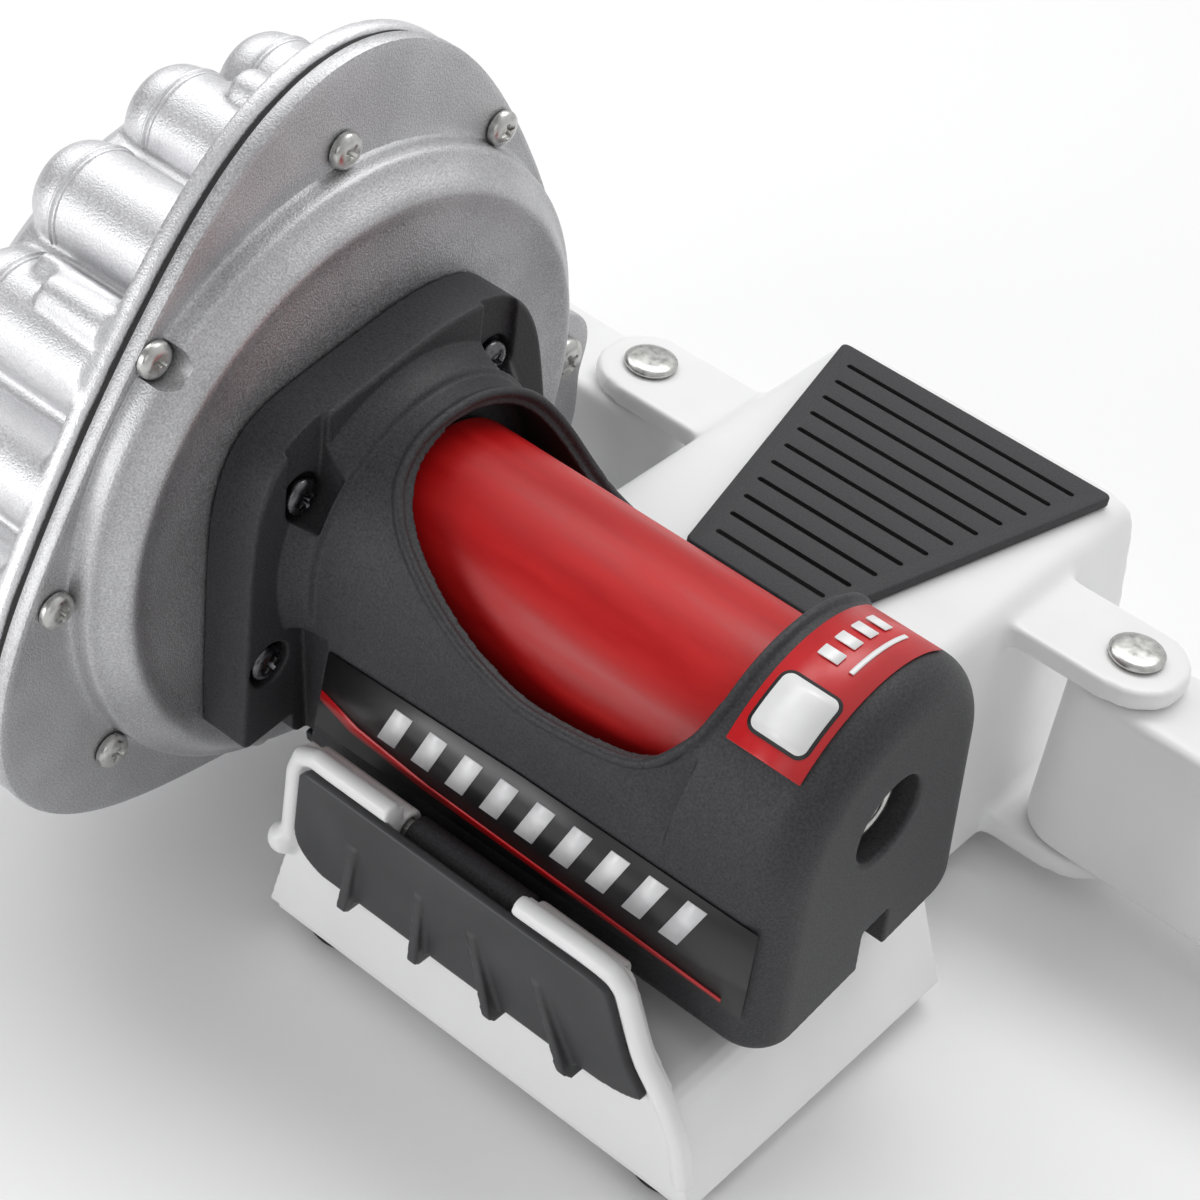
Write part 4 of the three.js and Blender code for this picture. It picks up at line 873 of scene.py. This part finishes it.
def arch_film(name, along, around, lift, material, soft=0.2):
    """A thin film over the arch: its stations, its degrees, and the radius of its corners."""
    inner = arch_radius + lift
    outer = inner + film_depth
    length = math.radians(around[1] - around[0]) * inner
    steps = 8
    turns = [soft * (1 - math.cos(math.pi / 2 * i / steps)) for i in range(steps + 1)]
    straight = [soft + (length - 2 * soft) * i / 24 for i in range(1, 24)]
    rings = []
    for way in turns + straight + [length - turn for turn in reversed(turns)]:
        near_end = max(soft - min(way, length - way), 0)
        inset = soft - math.sqrt(max(soft ** 2 - near_end ** 2, 0))
        degrees = around[0] + math.degrees(way / inner)
        low = along[0] + inset
        top = along[1] - inset
        corners = ((low, inner), (top, inner), (top, outer), (low, outer))
        rings.append([(station, *polar(radius, degrees)) for station, radius in corners])
    return make_piece(name, [skin(rings)], material)


top_label = arch_film("top_label_film", (114, 129.8), (50, 133), film_lift, red_film)
hand_over(top_label, "unit", "red_film", "top_label")
frame_ink = arch_film("top_label_black_panel", (115.4, 128.4), (102.6, 127.2), ink_lift, black_film, 2.4)
hand_over(frame_ink, "unit", "black_film")
block_lift = ink_lift + (film_depth + film_gap)
ink_blocks = [arch_film("ink", (116.1, 127.7), (103.9, 125.9), block_lift, white_ink, 1.8)]
for start in (61, 70, 79, 88):
    ink_blocks.append(arch_film("ink", (117.6, 122), (start, start + 5), block_lift, white_ink))
ink_blocks.append(arch_film("ink", (124.4, 125.4), (61, 93), block_lift, white_ink))
hand_over(joined("top_label_white_blocks", ink_blocks), "unit", "red_film")

# Bearings, seal and retaining ring sit inside the castings, and the impeller in the chamber. They
# keep their CAD form: ground bearing steel, black rubber, and cast aluminium.


def dress(material, slot, *nodes):
    """Gives CAD nodes a finish in place of their plain one."""
    for node in nodes:
        shown = frame["nodes"][node]
        shown.data.materials.clear()
        shown.data.materials.append(material)


bearing_steel = plated_steel("ground_bearing_steel", "#9C9C9E", "#C4C4C6", 0.22)
dress(bearing_steel, "zinc_steel", "far_bearing_outer_ring", "far_bearing_inner_ring",
      "near_bearing_outer_ring", "near_bearing_inner_ring")
dress(bearing_steel, "dark_steel", "far_bearing_balls", "near_bearing_balls")
dress(dark_chromate, "dark_steel", "retaining_ring")
dress(black_rubber_and_groove_shade, "gasket_rubber", "shaft_seal")
dress(aluminium, "cast_aluminium", "impeller")
dress(zinc, "zinc_steel", "filler_plug")

# Stand section: the deck and the tongue are white polypropylene mouldings with soft corners, hollow
# underneath. The deck carries the hinge bars, and the tongue the tread pad and the leg lugs.


def white_moulding():
    """White polypropylene moulding: smooth and softly glossy, with very faint flow marks."""
    flow_size = 30 * mm
    skin_size = 1.2 * mm
    material, tree, shader, place = new_finish("white_moulded_polypropylene", Roughness=0.34,
                                               Specular_IOR_Level=0.45)
    flow = add_node(tree, "ShaderNodeTexNoise", {"Vector": place, "Scale": 1 / flow_size, "Detail": 2})
    two_tones(tree, shader, flow.outputs["Fac"], "#EBEBEB", "#F2F2F2")
    peel = add_node(tree, "ShaderNodeTexNoise", {"Vector": place, "Scale": 1 / skin_size, "Detail": 2})
    vary(tree, shader, peel.outputs["Fac"], bump=(0.06, 0.1 * mm))
    return material


white = white_moulding()
remould("deck_moulding", "deck_shell", "stand", "white_plastic", white, cell=0.55 * mm, rounds=4, share=0.3)
remould("tongue_moulding", "tongue_shell", "stand", "white_plastic", white, cell=1 * mm, rounds=14, share=0.6)

# Folding legs: the same white moulding, each turning on an upright steel pin between two lugs. The
# pins have a domed head on top.
for side in ("left", "right"):
    remould(f"{side}_leg_moulding", f"{side}_leg", f"{side}_leg", "white_plastic", white, cell=0.9 * mm,
            rounds=9, share=0.6)
upright_steps = 48


def part_point(corner):
    """A row-frame point in millimetres of the part's own level frame."""
    return (corner - axis_point) / mm


def upright(name, node, profile_of, material):
    """A turned piece on the upright axis of a CAD node, from a profile of heights and radii."""
    low, top = (part_point(corner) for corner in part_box(node))
    middle = (low + top) / 2
    rings = []
    for z, radius in profile_of(low.z, top.z, (top.x - low.x) / 2):
        rings.append([(middle.x + x, middle.y + y, z) for x, y in circle(radius, upright_steps)])
    return make_piece(name, [skin(rings)], material, part_place)


def pin_profile(low, top, radius):
    shank = radius / 1.5
    return [(low, 0), (low, shank - 0.5), (low + 0.5, shank), (top - 1.7, shank), (top - 1.7, radius - 0.3),
            (top - 1.4, radius), (top - 0.8, radius), (top - 0.2, radius * 0.8), (top, radius * 0.5),
            (top, 0)]


for side in ("left", "right"):
    node = f"{side}_leg_pin"
    hand_over(upright(f"{side}_leg_pin_steel", node, pin_profile, zinc), "stand", "zinc_steel", node)

# Rubber feet and the rest buffer: moulded black rubber, pressed into their seats, with rounded
# rims and, on the feet, a shallow ring in the tread face.


def foot_profile(low, top, radius):
    return [(low, 0), (low, radius * 0.45), (low + 0.5, radius * 0.5), (low + 0.5, radius * 0.6),
            (low, radius * 0.65), (low, radius - 0.9), (low + 0.3, radius - 0.3), (low + 0.9, radius),
            (top - 0.6, radius), (top - 0.2, radius - 0.2), (top, radius - 0.6), (top, 0)]


for node, body in (("deck_foot_1", "stand"), ("deck_foot_2", "stand"), ("left_leg_foot", "left_leg"),
                   ("right_leg_foot", "right_leg")):
    hand_over(upright(f"{node}_rubber", node, foot_profile, black_rubber_and_groove_shade), body, "gasket_rubber", node)
remould("rest_buffer_rubber", "rest_buffer", "stand", "gasket_rubber", black_rubber_and_groove_shade, cell=0.4 * mm, rounds=5,
        share=0.5)

# Apron plate: a dark nylon moulding, screwed to the deck's front wall below the hinge. Tapering ribs
# stiffen it and stand out over its lower edge. Its tool is polished, so it is even and half glossy,
# with faint swirls.
smooth_nylon = patterned("dark_smooth_nylon", ("#38383A", "#444446"), grain=18 * mm, swirl=0.8,
                         rough=(0.34, 0.46), Roughness=0.38, Specular_IOR_Level=0.45)
remould("apron_plate_moulding", "apron_plate", "stand", "black_plastic", smooth_nylon, cell=0.4 * mm,
        rounds=4, share=0.5)
dress(white, "white_plastic", "bottom_plate")
dress(zinc, "zinc_steel", "hinge_pin", "plate_screw_1", "plate_screw_2", "plate_screw_3", "plate_screw_4")

# Tread pad: a moulded mat of ribbed rubber let into the tongue's top, with rounded-end grooves
# across it and softened edges. The rubber is grey-black and matt, with fine pores.
tread_rubber = patterned("grey_tread_rubber", ("#343436", "#424244"), grain=0.45 * mm, bump=(0.25, 0.08 * mm),
                         Roughness=0.7, Specular_IOR_Level=0.4)
pad_low, pad_high = (part_point(corner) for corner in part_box("tread_pad"))
pad_middle = (pad_low.x + pad_high.x) / 2
pad_near_half = 16.5
pad_far_half = (pad_high.x - pad_low.x) / 2
groove_count = 11
groove_half = 0.7
groove_depth = 1
groove_margin = 5


def pad_half(y):
    return pad_near_half + (pad_far_half - pad_near_half) * (y - pad_low.y) / (pad_high.y - pad_low.y)


def trapezoid(inset, z):
    """The pad's outline drawn in by an inset, with small round corners."""
    near = pad_half(pad_low.y) - inset
    far = pad_half(pad_high.y) - inset
    front = pad_low.y + inset
    back = pad_high.y - inset
    corners = [(pad_middle - near, front, 1.5), (pad_middle + near, front, 1.5),
               (pad_middle + far, back, 2), (pad_middle - far, back, 2)]
    return [(x, y, z) for x, y in rounded_outline(corners)]


pad_edge = [(0.3, pad_low.z), (0, pad_low.z + 0.3), (0, pad_high.z - 0.5), (0.15, pad_high.z - 0.15),
            (0.5, pad_high.z)]
pad_skin = skin([trapezoid(inset, z) for inset, z in pad_edge])
pad = make_piece("tread_pad_rubber", [pad_skin], tread_rubber, part_place)
grooves = []
for i in range(groove_count):
    y = pad_low.y + (pad_high.y - pad_low.y) * (i + 1) / (groove_count + 1)
    half = pad_half(y) - groove_margin
    ring = []
    for k in range(24):
        dx, dy = polar(groove_half, 15 * k - 82.5)
        ring.append((pad_middle + dx + (half if dx > 0 else -half), y + dy))
    grooves.append(skin([[(a, b, z) for a, b in ring] for z in (pad_high.z - groove_depth, pad_high.z + 1)]))
# The grooves are faced in the darker black rubber instead of the pad's own grey: painted shade in the
# grooves.
carve(pad, grooves, place=part_place, material=black_rubber_and_groove_shade)
bevel(pad, 0.18 * mm, 50)
hand_over(pad, "stand", "pad_rubber", "tread_pad")

# Studio: a pale floor that the camera sees as near white, a soft world that is brightest behind the
# tongue, and four large lamps.
for spare in ("Cube", "Light", "Camera"):
    if spare in bpy.data.objects:
        bpy.data.objects.remove(bpy.data.objects[spare])
floor_half = 2.5
floor_corners = [(x * floor_half, y * floor_half, 0) for x, y in ((-1, -1), (1, -1), (1, 1), (-1, 1))]
floor_mesh = bpy.data.meshes.new("floor")
floor_mesh.from_pydata(floor_corners, [], [(0, 1, 2, 3)])
floor_mesh.materials.append(new_finish("pale_floor", Base_Color=linear("#F4F4F4"), Roughness=0.6)[0])
add_object("floor", floor_mesh)

world = bpy.data.worlds.new("studio")
bpy.context.scene.world = world
world.use_nodes = True
sky = world.node_tree
sky_place = add_node(sky, "ShaderNodeTexCoord").outputs["Generated"]
bright_side = Vector((0.45, 0.65, 0.6)).normalized()
sky_side = add_node(sky, "ShaderNodeVectorMath", {0: sky_place, 1: bright_side}, operation="DOT_PRODUCT")
sky_level = add_node(sky, "ShaderNodeMapRange", {"Value": sky_side.outputs["Value"], "From Min": -0.6,
                     "From Max": 0.9})
sky_ramp = add_node(sky, "ShaderNodeValToRGB", {"Fac": sky_level.outputs["Result"]})
sky_ramp.color_ramp.elements[0].color = linear("#4E4E50")
sky_ramp.color_ramp.elements[1].color = linear("#FFFFFF")
sky.links.new(sky_ramp.outputs["Color"], sky.nodes["Background"].inputs["Color"])
sky.nodes["Background"].inputs["Strength"].default_value = 0.74


def lamp(name, place, aim, width, height, power):
    """A soft box lamp that looks at a point."""
    light = bpy.data.lights.new(name, "AREA")
    light.shape = "RECTANGLE"
    light.size = width
    light.size_y = height
    light.energy = power
    holder = add_object(name, light)
    holder.location = place
    holder.rotation_mode = "QUATERNION"
    holder.rotation_quaternion = (Vector(aim) - Vector(place)).to_track_quat("-Z", "Y")


lamp("rear_overhead_softbox", (-0.15, 0.6, 1.15), (0, 0, 0.08), 1, 0.5, 6.5)
lamp("chamber_side_softbox", (-0.9, 0.1, 0.9), (-0.1, 0, 0.1), 0.7, 0.7, 3.5)
lamp("low_front_softbox", (-0.45, -1, 0.28), (0, 0, 0.08), 0.6, 0.4, 4)
lamp("front_fill", (0.5, -0.9, 0.5), (0, 0, 0.06), 0.6, 0.6, 1)

# Camera: at the photograph's place and angle, fitted to the round outlines of the roller unit. The
# focal length is in pixels of the photograph's width.
camera_right = Vector((0.761, 0.633, 0.138))
camera_up = Vector((-0.495, 0.431, 0.754))
photo_width = 1200
focal_pixels = 2901
camera_right.normalize()
camera_back = camera_right.cross(camera_up).normalized()
camera_up = camera_back.cross(camera_right)
camera_data = bpy.data.cameras.new("photo_camera")
camera_data.sensor_width = 36
camera_data.lens = focal_pixels / photo_width * camera_data.sensor_width
camera_data.clip_start = 0.01
camera = add_object("photo_camera", camera_data)
camera.rotation_mode = "QUATERNION"
camera.rotation_quaternion = Matrix((camera_right, camera_up, camera_back)).transposed().to_quaternion()
camera.location = Vector((221.47, -369.81, 430.86)) * mm
bpy.context.scene.camera = camera
bpy.context.scene.view_settings.view_transform = "Standard"
